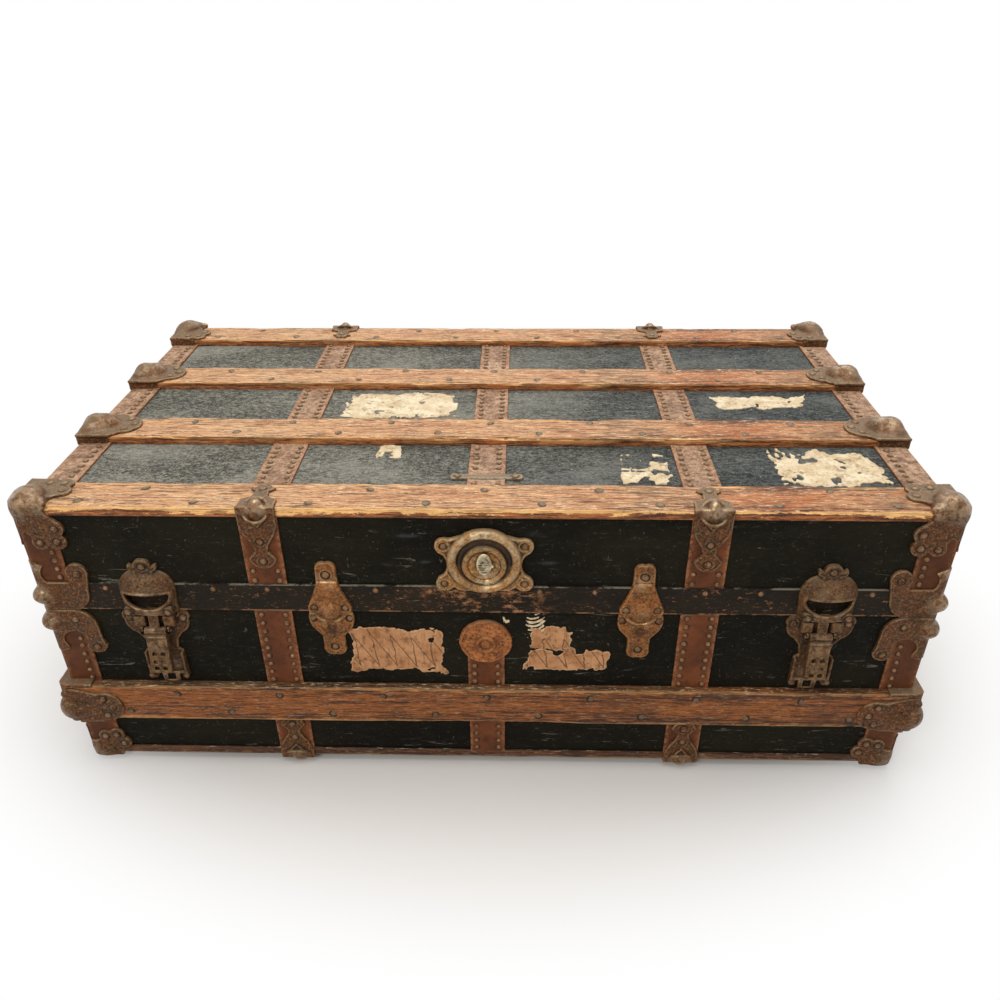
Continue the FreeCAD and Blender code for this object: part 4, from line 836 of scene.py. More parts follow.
def lining_finish():
    f = Finish("Lining paper", Specular_IOR_Level=0.25)
    flat = abs(f.facing.part("Z")).rise(0.4, 0.6)
    run = f.place.part("X") + f.place.part("Y") * (1.0 - flat)
    turns = run * (2 * math.pi / STRIPE)
    broad, thin = turns.wave(), (turns + 1.2).wave()
    fox = f.noise(9, 5.0, 5.0, 0.7)
    stain = f.noise(90, 2.0, 6.0, 0.66)
    fibre = f.noise(1.5, 1.0, 3.0)
    f.colour = f.mix(stain.rise(0.35, 0.7), (206, 190, 156), (176, 152, 112))
    f.coat(broad.rise(0.72, 0.86) * 0.55, (126, 110, 92))
    f.coat(thin.rise(0.9, 0.97) * 0.5, (138, 84, 66))
    f.coat(fox.rise(0.66, 0.74) * 0.7, (128, 88, 54))
    f.bumped((stain, 1.2), (fibre, 0.15))
    return f.worn(0.72 + fibre * 0.2)


def leather_finish():
    f = Finish("Handle leather", Specular_IOR_Level=0.45)
    grain = f.cells(1.5, 3.0)
    cracks = f.noise(6, 4.0, 5.0, 0.7, (1, 3, 1))
    f.colour = f.mix(cracks.rise(0.35, 0.65), (58, 34, 22), (96, 58, 36))
    f.coat(f.mark("edge") * (0.3 + cracks * 0.5), (136, 92, 60))
    f.bumped((grain, 0.3), (cracks, 0.5))
    return f.worn(0.45 + cracks * 0.25)


BOARD_WOOD, LINING_PAPER, LEATHER = board_finish(), lining_finish(), leather_finish()

# %% [markdown]
# ## Finishes: label paper and thread
# The lid's labels have bleached to cream. Those on the front have gone tan, and somebody once crossed one out
# with a pencil, in slanting strokes. Waxed thread holds the handles together.

# %% Label paper and thread
STROKE = 0.010


def label_finish(name, light, shade, stain, pencil):
    f = Finish(name, Specular_IOR_Level=0.2)
    cloud = f.noise(22, 3.0, 5.0, 0.65)
    fine = f.noise(2.6, 6.0, 4.0, 0.7)
    stained = f.noise(9, 11.0, 6.0, 0.7)
    f.colour = f.mix(cloud.rise(0.35, 0.68), light, shade)
    f.coat(stained.rise(0.5, 0.68) * 0.8, stain)
    height = f.place.part("Z")
    zigzag = (f.place.part("X") + height * 0.35 + cloud * 0.008).bounce(STROKE) / STROKE
    stroke = 1.0 - abs(zigzag * (0.55 + cloud * 0.8) - (height - 0.146) / 0.044).rise(0.02, 0.085)
    f.coat(stroke * pencil * fine.rise(0.28, 0.45), (58, 42, 32))
    f.coat(f.mark("edge").rise(0.1, 0.8) * 0.35, (226, 204, 166))
    ribs = f.noise(4, 2.0, 5.0, 0.75, (1, 1, 7))
    f.coat(ribs.rise(0.5, 0.66) * 0.4, stain)
    f.bumped((fine, 0.3), (ribs, 0.7))
    return f.worn(0.8 - cloud * 0.15)


def thread_finish():
    f = Finish("Waxed thread", Specular_IOR_Level=0.3)
    twist = f.noise(0.8, 2.0, 3.0, stretch=(1, 3, 1))
    f.colour = f.mix(twist, (96, 72, 48), (150, 122, 86))
    f.bumped((twist, 0.2))
    return f.worn(0.6 + twist * 0.2)


CREAM_PAPER = label_finish("Cream paper", (228, 215, 186), (202, 180, 144), (138, 108, 76), 0.0)
TAN_PAPER = label_finish("Tan paper", (196, 146, 104), (168, 116, 76), (104, 66, 42), 0.85)
THREAD = thread_finish()
print("finishes:", len(bpy.data.materials))

# %% [markdown]
# ## Hidden and inner CAD parts
# The boards, lining, tray and rim lip are flat on the real trunk too, so their CAD meshes stay and only take a
# finish.

# %% Finishes on CAD parts that stay
def paint(finish, *nodes):
    for node in nodes:
        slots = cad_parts[node].data.materials
        slots.clear()
        slots.append(finish)


SIDES = ("front", "back", "left", "right")
paint(BOARD_WOOD, *[f"{half}_{side}_board" for half in ("box", "lid") for side in SIDES])
paint(BOARD_WOOD, "box_bottom_board", "lid_top_board")
paint(BOARD_WOOD, "tray_runners", "tray_floor")
paint(LINING_PAPER, "box_lining", "lid_lining", "tray_walls")
paint(LEATHER, "tray_tapes")
paint(PIN_STEEL, "drawbolt_pins", "hinge_pins", "box_rim_lip")

# %% [markdown]
# ## Nails and rivets
# The openings in the corner clamps show a few more nails than the CAD model has, at the heights given.

# %% Nails and rivets
heads("Box_nails", "box", "nail_steel", NAIL_STEEL, 2.8, 2.3, 1, corners=(171, 181))
heads("Lid_nails", "lid", "nail_steel", NAIL_STEEL, 2.8, 2.3, 2, corners=(261, 271, 281, 291))
heads("Box_rivets", "box", "cast_hardware", CAST_IRON, 3.8, 1.8, 3, 16)
heads("Lid_rivets", "lid", "cast_hardware", CAST_IRON, 3.8, 1.8, 4, 16)
heads("Box_slat_nails", "box", "nail_steel", SLAT_NAIL_STEEL, 3.6, 1.0, 5)
heads("Lid_slat_nails", "lid", "nail_steel", SLAT_NAIL_STEEL, 3.6, 1.0, 6)

# %% [markdown]
# ## Slats
# Four slats run along the lid, four under the box, and one round each face of the box. Each is swept from end
# to end and its upper and outer edges are splintered by years of handling. The front edge of the first lid
# slat is the worst, as it takes every knock.

# %% Slats
SPACING = 4.0


def straight(start, end, out):
    start, end = np.asarray(start, float), np.asarray(end, float)
    count = int(np.linalg.norm(end - start) / SPACING)
    share = np.linspace(0, 1, count + 1)[:, None]
    return start + (end - start) * share, np.tile(np.asarray(out, float), (count + 1, 1))


def slats(name, node, body, slot, finish, out_axis, chips, seed):
    """Each solid of a CAD slat node as a worn board whose outer face is out_axis of the trunk."""
    low, high = islands(node)
    chunks = []
    for n in range(len(low)):
        extent, middle = high[n] - low[n], (low[n] + high[n]) / 2
        run_axis, thick, wide = int(extent.argmax()), extent[out_axis], sorted(extent)[1]
        out = np.zeros(3)
        if out_axis == 2:
            out[2] = 1 if body == "lid" else -1
        else:
            out[out_axis] = np.sign(middle[out_axis])
        ends = np.array([middle, middle])
        ends[0, run_axis], ends[1, run_axis] = low[n, run_axis], high[n, run_axis]
        path, outs = straight(ends[0], ends[1], out)
        section, edge = bar_section(thick, wide, 1.2, 2.4)
        edge = edge * (section[:, 0] > -thick * 0.2)
        chip = chips[n % len(chips)]
        share = 0.05 if chip > 1.5 else 0
        chunk = swept(path, outs, section, edge, finish, 0.35, chip, 70, share, seed + n * 1.7)
        chunk.points = np.clip(chunk.points, low[n] - 0.05, high[n] + 0.05)
        chunks.append(chunk)
    piece(name, body, slot, finish, chunks, node)


slats("Lid_slats", "lid_slats", "lid", "wood_slat", LID_SLAT, 2, (2.6, 2.0, 1.8, 1.4), 3.0)
slats("Bottom_slats", "bottom_slats", "box", "bottom_slat", UNDER_SLAT, 2, (1.2,), 13.0)
slats("Face_slats", "box_face_slats", "box", "wood_slat", BOX_SLAT, 1, (1.6,), 23.0)
slats("End_slats", "box_end_slats", "box", "wood_slat", BOX_SLAT, 0, (1.6,), 33.0)

# %% [markdown]
# ## Castings as distance fields
# A cast clamp is lumps of metal that melt into each other: a knob flows into a leaf, and lobes flow into a
# palm. Extrusions and booleans leave hard creases there. So each casting is written as a distance: for any
# point, how far it is from the surface, below zero inside. The smaller of two distances joins two solids, and
# a rounded smaller one melts them together, as molten iron does.

# %% Forms
def melt(a, b, radius):
    """The smaller of two distances, with the crease between them filled to a radius."""
    share = np.clip(0.5 + 0.5 * (b - a) / radius, 0, 1)
    return b + (a - b) * share - radius * share * (1 - share)


class Form:
    """A solid as a distance in millimetres."""

    def __init__(self, distance):
        self.distance = distance

    def __call__(self, x, y, z):
        return self.distance(x, y, z)

    def joined(self, other, radius=0.8):
        return Form(lambda x, y, z: melt(self(x, y, z), other(x, y, z), radius))

    def less(self, other, radius=0.8):
        return Form(lambda x, y, z: -melt(-self(x, y, z), other(x, y, z), radius))

    def within(self, other, radius=0.8):
        return Form(lambda x, y, z: -melt(-self(x, y, z), -other(x, y, z), radius))

    def swapped(self):
        """The same form on the other side of a corner."""
        return Form(lambda x, y, z: self(y, x, z))

    def doubled(self, radius):
        """The form joined to its twin on the other side of a corner."""
        return self.joined(self.swapped(), radius)

    def with_both(self, other, radius=0.8, twin_radius=None):
        """Joined to another form and to that one's twin."""
        return self.joined(other, radius).joined(other.swapped(), twin_radius or radius)

    def paired(self):
        """The form and its mirror image at -x."""
        return Form(lambda x, y, z: self(abs(x), y, z))


def ball(centre, radii):
    radii = np.broadcast_to(np.asarray(radii, float), 3)

    def distance(x, y, z):
        u, v, w = (x - centre[0]) / radii[0], (y - centre[1]) / radii[1], (z - centre[2]) / radii[2]
        near = np.sqrt(u * u + v * v + w * w) + 1e-9
        slope = np.sqrt((u / radii[0]) ** 2 + (v / radii[1]) ** 2 + (w / radii[2]) ** 2) + 1e-9
        return near * (near - 1) / slope

    return Form(distance)


def link(start, start_r, end, end_r):
    """A bar with round ends that tapers from one radius to another."""
    start, end = np.asarray(start, float), np.asarray(end, float)
    run = end - start

    def distance(x, y, z):
        u, v, w = x - start[0], y - start[1], z - start[2]
        share = np.clip((u * run[0] + v * run[1] + w * run[2]) / (run @ run), 0, 1)
        away = np.sqrt((u - run[0] * share) ** 2 + (v - run[1] * share) ** 2 + (w - run[2] * share) ** 2)
        return away - (start_r + (end_r - start_r) * share)

    return Form(distance)


def brick(low, high, round_by=0.6):
    middle = (np.asarray(low, float) + np.asarray(high, float)) / 2
    half = (np.asarray(high, float) - np.asarray(low, float)) / 2 - round_by

    def distance(x, y, z):
        u, v, w = abs(x - middle[0]) - half[0], abs(y - middle[1]) - half[1], abs(z - middle[2]) - half[2]
        outside = np.sqrt(np.maximum(u, 0) ** 2 + np.maximum(v, 0) ** 2 + np.maximum(w, 0) ** 2)
        return outside + np.minimum(np.maximum(np.maximum(u, v), w), 0) - round_by

    return Form(distance)


def rod(centre, axis, radius, half, round_by=0.5):
    """A round bar along axis 0, 1 or 2."""

    def distance(*point):
        offsets = [point[n] - centre[n] for n in range(3)]
        along = abs(offsets.pop(axis)) - half + round_by
        away = np.hypot(*offsets) - radius + round_by
        outside = np.hypot(np.maximum(along, 0), np.maximum(away, 0))
        return outside + np.minimum(np.maximum(along, away), 0) - round_by

    return Form(distance)


def hoop(centre, axis, radius, thick):
    """A ring round axis 0, 1 or 2, or round a slanted axis given as a vector."""
    if isinstance(axis, int):
        axis = np.eye(3)[axis]
    axis = np.asarray(axis, float) / np.linalg.norm(axis)

    def distance(x, y, z):
        u, v, w = x - centre[0], y - centre[1], z - centre[2]
        along = u * axis[0] + v * axis[1] + w * axis[2]
        away = np.sqrt(np.maximum(u * u + v * v + w * w - along * along, 0))
        return np.hypot(away - radius, along) - thick

    return Form(distance)


# %% [markdown]
# ## Leaves
# Most of a clamp is leaf: a flat plate with a drawn outline. `traced` turns straight runs and arcs into a
# polygon. `drawn` measures how far a point is from it, and may melt round lobes into it. `leaf` gives it a
# thickness, a raised rim as foundries cast it to stiffen the edge, and a low ring round each rivet.

# %% Leaves
def traced(start, *steps):
    """A polygon. A step of two numbers is a straight run, and of four, an arc through one point."""
    points = [np.asarray(start, float)]
    for step in steps:
        here, there = points[-1], np.asarray(step[-2:], float)
        if len(step) == 4:
            through = np.asarray(step[:2], float)
            a, b = through - here, there - here
            cross = 2 * (a[0] * b[1] - a[1] * b[0])
            aa, bb = a @ a, b @ b
            centre = here + np.array([b[1] * aa - a[1] * bb, a[0] * bb - b[0] * aa]) / cross
            begin, middle, end = [math.atan2(*(p - centre)[::-1]) for p in (here, through, there)]
            turn = 2 * math.pi
            sweep = (end - begin) % turn
            if (middle - begin) % turn > sweep:
                sweep -= turn
            radius = float(np.hypot(*(here - centre)))
            count = max(3, int(abs(sweep) * radius / 1.6))
            for n in range(1, count):
                angle = begin + sweep * n / count
                points.append(centre + radius * np.array([math.cos(angle), math.sin(angle)]))
        points.append(there)
    return np.array(points)


def both_sides(half):
    """The right half of an outline, from top to bottom, and its mirror image."""
    return np.r_[half, (half * (-1, 1))[::-1]]


def drawn(outline, lobes=(), melting=3.0):
    """The distance to an outline in its own plane."""
    starts, ends = outline, np.roll(outline, -1, 0)

    def measure(u, v):
        nearest, inside = np.inf, False
        for (a, b), (c, d) in zip(starts, ends):
            du, dv = c - a, d - b
            share = np.clip(((u - a) * du + (v - b) * dv) / (du * du + dv * dv + 1e-12), 0, 1)
            nearest = np.minimum(nearest, (u - a - du * share) ** 2 + (v - b - dv * share) ** 2)
            if b != d:
                crosses = (b > v) != (d > v)
                inside = inside ^ (crosses & (u < a + du * (v - b) / dv))
        distance = np.where(inside, -1, 1) * np.sqrt(nearest)
        for centre_u, centre_v, radius in lobes:
            distance = melt(distance, np.hypot(u - centre_u, v - centre_v) - radius, melting)
        return distance

    return measure


CORNER_R, CORNER_OUT = 7.0, 2.6


def round_corner(form):
    """Rounds what a corner casting has at the upright edge of the trunk."""

    def post(x, y, z):
        across, along = np.maximum(CORNER_R - x, 0), np.maximum(CORNER_R - y, 0)
        return np.hypot(across, along) - CORNER_R - CORNER_OUT + 0 * z

    return form.within(Form(post), 0.6)


AXES = {
    "front": (lambda x, y, z: x, lambda x, y, z: z, lambda x, y, z: -y),
    "top": (lambda x, y, z: x, lambda x, y, z: y, lambda x, y, z: z),
}


def leaf(side, measure, back, front, rim=0.5, rings=(), corner=0.9, crown=0.0):
    """A plate seen from the front or the top, from back to front along its outward direction."""
    across, up, outward = AXES[side]

    def distance(x, y, z):
        u, v, n = across(x, y, z), up(x, y, z), outward(x, y, z)
        flat = measure(u, v)
        swell = crown * (1 - np.exp(np.minimum(flat, 0) / 6))
        height = front + rim * np.exp(-(((flat + 1.5) / 1.1) ** 2))
        for ring_u, ring_v in rings:
            away = np.hypot(u - ring_u, v - ring_v)
            swell = swell * (1 - np.exp(-((away / 6.5) ** 4)))
            height = height + 0.55 * np.exp(-(((away - 5.6) / 1.1) ** 2)) - 0.6 * np.exp(-((away / 4.6) ** 4))
        height = height + swell
        slab = np.maximum(back - n, n - height)
        return -melt(-flat, -slab, corner)

    return Form(distance)


# %% [markdown]
# ## From a form to a mesh
# The form is measured on a grid of points about a millimetre apart. Every grid cell that the surface passes
# through gets one vertex, and neighbours are joined, which gives an even mesh of quads with no holes. The
# vertices then slide along the slope of the distance until they lie on the surface. How quickly the distance
# bends there says how sharp the edge is, and that is kept as `edge` for the rust and polish, and, where it
# bends inwards, for dark paint that stands partly for grime and partly for shade.

# %% Skins
def skin(form, low, high, step=1.0, polish_and_shade_spots=()):
    """A closed mesh of the form within a box. The spots given are (centre, radius, strength): above 0 what
    hands polish, and below 0 hollows that the finish paints dark, partly as grime and partly as painted shade."""
    axes = [np.arange(low[n] - step * 1.5, high[n] + step * 1.6, step) for n in range(3)]
    grid = form(axes[0][:, None, None], axes[1][None, :, None], axes[2][None, None, :])
    shape = tuple(len(a) for a in axes)
    grid = np.broadcast_to(grid, shape)
    inside = grid < 0
    cells = tuple(n - 1 for n in shape)
    total, count = np.zeros(cells + (3,)), np.zeros(cells)
    for axis in range(3):
        for near in ((0, 0), (0, 1), (1, 0), (1, 1)):
            begin, end = (near[:axis] + (n,) + near[axis:] for n in (0, 1))
            a, b = (grid[tuple(slice(k, k + n) for k, n in zip(spot, cells))] for spot in (begin, end))
            crossed = (a < 0) != (b < 0)
            share = np.where(crossed, a / np.where(crossed, a - b, 1), 0)
            for n in range(3):
                total[..., n] += crossed * (begin[n] + (share if n == axis else 0))
            count += crossed
    used = count > 0
    number = np.full(cells, -1)
    number[used] = np.arange(used.sum())
    where = np.argwhere(used)
    points = (where + total[used] / count[used][:, None]) * step + [a[0] for a in axes]
    faces = []
    for axis in range(3):
        o, p = [n for n in range(3) if n != axis]
        lower = inside.take(range(shape[axis] - 1), axis)
        upper = inside.take(range(1, shape[axis]), axis)
        spots = np.argwhere(lower != upper)
        for n in (o, p):
            spots = spots[(spots[:, n] > 0) & (spots[:, n] < cells[n])]
        ring = []
        for back_o, back_p in ((1, 1), (0, 1), (0, 0), (1, 0)):
            cell = spots.copy()
            cell[:, o] -= back_o
            cell[:, p] -= back_p
            ring.append(number[tuple(cell.T)])
        quads = np.stack(ring, 1)
        outward = lower[tuple(spots.T)] == (axis != 1)
        faces.append(np.where(outward[:, None], quads, quads[:, ::-1]))
    reach = 0.25
    offsets = np.eye(3) * reach

    def slope(p):
        return np.stack([(form(*(p + o).T) - form(*(p - o).T)) / (2 * reach) for o in offsets], 1)

    home = points.copy()
    for _ in range(4):
        direction = slope(points)
        length = (direction**2).sum(1) + 1e-6
        points = points - direction * np.clip(form(*points.T) / length, -0.5 * step, 0.5 * step)[:, None]
        points = home + np.clip(points - home, -0.75 * step, 0.75 * step)
    bend = 1.5
    around = sum(form(*(points + s * bend * e).T) for e in np.eye(3) for s in (-1, 1))
    edge = np.clip((around - 6 * form(*points.T)) / bend**2 * 0.7, -1, 1)
    shine = np.zeros(len(points))
    for centre, radius, strength in polish_and_shade_spots:
        away = np.linalg.norm(points - centre, axis=1) / radius
        near = strength * np.clip(1.5 - away, 0, 1)
        shine = np.where(np.abs(near) > np.abs(shine), near, shine)
    return Chunk(points, faces, edge=edge, shine=shine)


# %% [markdown]
# ## Fibre straps
# Each strap is one long strip nailed on and folded over the edges of the trunk. The path below is its middle
# line, with a bend of a millimetre at each fold, and the section has a raised rim along both sides, pressed
# in at the works to stop the edges from fraying.

# %% Folded paths
BEND = 1.0


def folded(stops, side, ring=False):
    """A line in a plane through stops, bent tightly at each, and the direction that faces out beside it."""
    stops = np.asarray(stops, float)
    count = len(stops)
    legs = count if ring else count - 1
    spots, outs = [], []
    for n in range(legs):
        here, there = stops[n], stops[(n + 1) % count]
        length = np.linalg.norm(there - here)
        ahead = (there - here) / length
        out = side * np.array([-ahead[1], ahead[0]])
        begin = BEND if ring or n else 0
        last = not ring and n == legs - 1
        share = np.linspace(begin, length - (0 if last else BEND), max(2, int(length / SPACING)))
        spots += list(here + ahead * share[:, None])
        outs += [out] * len(share)
        if last:
            break
        after = stops[(n + 2) % count] - there
        turned = after / np.linalg.norm(after)
        next_out = side * np.array([-turned[1], turned[0]])
        for angle in (math.radians(30), math.radians(60)):
            cosine, sine = math.cos(angle), math.sin(angle)
            spots.append(there + BEND * (turned * (1 - cosine) + ahead * (sine - 1)))
            outs.append(out * cosine + next_out * sine)
    return np.array(spots), np.array(outs)


def across(x, flat):
    """Points of the y-z plane at x, or directions in it if x is 0."""
    return np.c_[np.full(len(flat), float(x)), flat]


# %% Straps
STRAP_W = 39.0
PLATE_R = 28.0
STRAP_SECTION, STRAP_EDGE = bar_section(2.0, STRAP_W, 0.6, 3.0, 0.6)
SIDE_Y, OVER_Z, UNDER_Z = HALF_D + 1, LID_TOP + 1, BOX_BOTTOM - 1


def fibre(path, outs, section, edge, seed):
    return swept(path, outs, section, edge, FIBRE, 0.3, 0.3, 30, 0.0, seed)


def strap(x, stops, side, seed):
    path, outs = folded(stops, side)
    return fibre(across(x, path), across(0, outs), STRAP_SECTION, STRAP_EDGE, seed)


def straps():
    low, high = islands("lid_bands")
    columns = sorted(round(float(x), 1) for x in (low + high)[:, 0] / 2)
    lock_z = face_of("lock_plate", 2, 0) + PLATE_R
    lid, box = [], []
    for n, x in enumerate(columns):
        middle = abs(x) < 1
        over = [(-SIDE_Y, VALANCE_TOP), (-SIDE_Y, OVER_Z), (SIDE_Y, OVER_Z), (SIDE_Y, VALANCE_TOP)]
        lid.append(strap(x, [(-HALF_D, OVER_Z), (HALF_D, OVER_Z)] if middle else over, 1, 40 + n))
        top = lock_z if middle else SPLIT
        under = [(-SIDE_Y, top), (-SIDE_Y, UNDER_Z), (SIDE_Y, UNDER_Z), (SIDE_Y, SPLIT)]
        box.append(strap(x, under, -1, 50 + n))
    piece("Lid_straps", "lid", "fibre", FIBRE, lid, "lid_bands")
    piece("Box_straps", "box", "fibre", FIBRE, box, "box_bands")


straps()

# %% [markdown]
# ## Corner bindings
# Where two faces of the trunk meet, a fibre angle covers the joint. Its section is an L with a rounded,
# rubbed corner. One runs up each corner and one along each end of the top and the bottom.

# %% Bindings
def angle_section(arm, thick=2.0, round_by=2.4, lip=0.5):
    along = np.linspace(arm, round_by, 13)
    raised = lip * np.clip((along - arm + 4.5) / 1.5, 0, 1)
    first = np.c_[along, -raised]
    turn = np.radians([22.5, 45, 67.5])
    bend = np.c_[round_by - round_by * np.sin(turn), round_by - round_by * np.cos(turn)]
    second = first[::-1, ::-1]
    inner = np.array([(thick, arm), (thick, thick), (arm, thick)])
    points = np.r_[first, bend, second, inner]
    near_tip = np.clip(1 - (arm - points.max(1)) / 4, 0, 1)
    near_corner = np.clip(1 - points.max(1) / 6, 0, 1)
    edge = np.maximum(near_tip, near_corner)
    edge[-3:] = 0
    return points, edge


BINDING_INNER_X = 421.0


def bindings():
    section, edge = angle_section(face_of("lid_bindings", 0, 1) - BINDING_INNER_X)
    out = (1, 0, 0)

    def corner(low_z, high_z, seed):
        path, outs = straight((-FIBRE_X, -FIBRE_Y, low_z), (-FIBRE_X, -FIBRE_Y, high_z), out)
        return fibre(path, outs, section, edge, seed)

    def end_edge(z, up, seed):
        path, outs = straight((-FIBRE_X, FIBRE_Y, z), (-FIBRE_X, -FIBRE_Y, z), out)
        return fibre(path, outs, section * (1, -up), edge, seed)

    lid = four_corners([corner(VALANCE_TOP, FIBRE_TOP, 60)]) + left_and_right([end_edge(FIBRE_TOP, 1, 62)])
    box = four_corners([corner(FIBRE_BOTTOM, SPLIT, 64)]) + left_and_right([end_edge(FIBRE_BOTTOM, -1, 66)])
    piece("Lid_bindings", "lid", "fibre", FIBRE, lid)
    piece("Box_bindings", "box", "fibre", FIBRE, box)


bindings()

# %% [markdown]
# ## Rim band
# The steel band runs once round the lid. Both its edges are rolled over, and they catch the light where the
# paint has gone.

# %% Rim band
def rim_band():
    side_x = HALF_W + 1
    corners = [(-side_x, -SIDE_Y), (side_x, -SIDE_Y), (side_x, SIDE_Y), (-side_x, SIDE_Y)]
    path, outs = folded(corners, -1, True)
    middle_z = (LID_BOTTOM + VALANCE_TOP) / 2
    section, edge = bar_section(2.0, VALANCE_TOP - LID_BOTTOM, 0.7, 3.0, 0.5)
    spots = np.c_[path, np.full(len(path), middle_z)]
    band = swept(spots, np.c_[outs, np.zeros(len(outs))], section, edge, RIM_BAND, 0.5, 0, 60, 0, 70, True)
    piece("Rim_band", "lid", "valance_steel", RIM_BAND, [band], "lid_valance")


rim_band()

# %% [markdown]
# ## Canvas
# The canvas was glued wet, so it follows every ripple in the boards, and it has come loose and wrinkled round
# the lock and on the lid. Each face is a thin closed sheet. Its relief is smooth noise plus a few creases,
# each given as a line, a width and a height. Relief only ever stands outwards, so no board shows through.

# %% Relief
def rumple(u, v, size, seed):
    """Smooth noise from -1 to 1 with bumps about as wide as size."""
    table = np.random.default_rng(seed).uniform(-1, 1, (64, 64))
    u, v = np.asarray(u) / size + 17.3, np.asarray(v) / size + 11.1
    i, j = np.floor(u).astype(int), np.floor(v).astype(int)
    f, g = u - i, v - j
    f, g = f * f * (3 - 2 * f), g * g * (3 - 2 * g)
    near = table[i % 64, j % 64] * (1 - f) + table[(i + 1) % 64, j % 64] * f
    far = table[i % 64, (j + 1) % 64] * (1 - f) + table[(i + 1) % 64, (j + 1) % 64] * f
    return near * (1 - g) + far * g


def creased(u, v, creases):
    height = np.zeros(np.broadcast(u, v).shape)
    for (a, b), (c, d), width, lift in creases:
        share = np.clip(((u - a) * (c - a) + (v - b) * (d - b)) / ((c - a) ** 2 + (d - b) ** 2), 0, 1)
        away = np.hypot(u - a - (c - a) * share, v - b - (d - b) * share + rumple(u, v, 14, 3) * 1.5)
        height += lift * np.exp(-((away / width) ** 2)) * np.sin(np.pi * (0.08 + 0.84 * share))
    return height


def sheet(low_u, high_u, low_v, high_v, creases=(), ripple=0.35, cell=5.0, seed=1):
    """A closed sheet in its own plane, with its outer side at height 0 or above."""
    u = np.linspace(low_u, high_u, int((high_u - low_u) / cell) + 1)
    v = np.linspace(low_v, high_v, int((high_v - low_v) / cell) + 1)
    grid_u, grid_v = np.meshgrid(u, v, indexing="ij")
    broad, small = rumple(grid_u, grid_v, 70, seed), rumple(grid_u, grid_v, 16, seed + 1)
    rippled = ripple * (1 + 0.7 * broad + 0.3 * small)
    folds = creased(grid_u, grid_v, creases)
    border = np.minimum.reduce([grid_u - low_u, high_u - grid_u, grid_v - low_v, high_v - grid_v])
    height = (rippled + folds) * np.clip(border / 12, 0, 1)
    outer = np.c_[grid_u.ravel(), grid_v.ravel(), height.ravel()]
    inner = np.c_[grid_u.ravel(), grid_v.ravel(), np.full(grid_u.size, -0.8)]
    index = np.arange(grid_u.size).reshape(grid_u.shape)
    quads = np.stack([index[:-1, :-1], index[1:, :-1], index[1:, 1:], index[:-1, 1:]], -1).reshape(-1, 4)
    rim = np.r_[index[:, 0], index[-1, 1:], index[-2::-1, -1], index[0, -2:0:-1]]
    ahead, depth = np.roll(rim, -1), grid_u.size
    walls = np.stack([rim, rim + depth, ahead + depth, ahead], 1)
    # The crease height, which the canvas finish paints with a blue-grey highlight.
    edge = np.clip(folds.ravel() / 1.2, 0, 1)
    faces = [quads, quads[:, ::-1] + depth, walls]
    return Chunk(np.r_[outer, inner], faces, edge=np.r_[edge, edge * 0])


FACE_ON = {
    "front": ((1, 0, 0), (0, 0, 1), (0, -1, 0)),
    "back": ((1, 0, 0), (0, 0, 1), (0, 1, 0)),
    "left": ((0, 1, 0), (0, 0, 1), (-1, 0, 0)),
    "right": ((0, 1, 0), (0, 0, 1), (1, 0, 0)),
    "top": ((1, 0, 0), (0, 1, 0), (0, 0, 1)),
    "bottom": ((1, 0, 0), (0, 1, 0), (0, 0, -1)),
}


def laid(chunk, side, plane):
    """Puts what was made flat, as (across, up, out), on one side of the trunk."""
    matrix = np.array(FACE_ON[side], float).T
    return chunk.placed(matrix, matrix[:, 2] * plane)


# %% Canvas faces
LOCK_CREASES = [
    ((-92, 315), (-58, 312), 3.2, 1.3), ((-70, 286), (-44, 279), 2.6, 1.3),
    ((34, 317), (66, 314), 3.2, 1.4), ((46, 283), (84, 279), 2.8, 1.3),
    ((-200, 303), (-120, 300), 5.0, 0.7), ((90, 302), (180, 305), 5.0, 0.7),
    ((52, 268), (110, 265), 2.4, 0.7), ((-130, 262), (-60, 264), 2.4, 0.6),
    ((260, 318), (330, 322), 3.0, 0.7),
]
TOP_CREASES = [
    ((28, -182), (150, -176), 5.0, 1.9), ((40, -168), (118, -163), 4.0, 1.6),
    ((90, -152), (182, -158), 5.0, 1.5), ((30, -146), (80, -150), 4.0, 1.2),
    ((-180, -160), (-90, -165), 6.0, 0.8), ((250, -150), (420, -145), 6.0, 0.8),
    ((-400, -20), (-290, -10), 6.0, 0.8), ((60, 20), (180, 10), 6.0, 0.8),
    ((-100, 160), (100, 150), 6.0, 0.7), ((250, 150), (400, 160), 5.0, 0.8),
    ((60, 40), (150, 44), 4.0, 0.9),
]


def canvas():
    lid, box = [], []
    for n, side in enumerate(SIDES):
        half, plane = (HALF_W, HALF_D) if n < 2 else (HALF_D, HALF_W)
        folds = LOCK_CREASES if side == "front" else ()
        lid.append(laid(sheet(-half, half, LID_BOTTOM, LID_TOP, folds, seed=n * 5 + 1), side, plane))
        box.append(laid(sheet(-half, half, BOX_BOTTOM, SPLIT, seed=n * 5 + 30), side, plane))
    lid.append(laid(sheet(-HALF_W, HALF_W, -HALF_D, HALF_D, TOP_CREASES, 0.5, seed=60), "top", LID_TOP))
    box.append(laid(sheet(-HALF_W, HALF_W, -HALF_D, HALF_D, seed=70, cell=8.0), "bottom", -BOX_BOTTOM))
    piece("Lid_canvas", "lid", "canvas", CANVAS, lid)
    piece("Box_canvas", "box", "canvas", CANVAS, box)


canvas()

# %% [markdown]
# ## Corner castings
# The four lid corners are one pattern, cast four times. It is drawn in corner coordinates: the first number
# is the distance from the corner along the front, the second along the end, and the third the height over
# the lid's top. The end's leaf is the front's with those first two swapped.

# %% Lid corners
LEAF = 2.5
INTO = -1.9


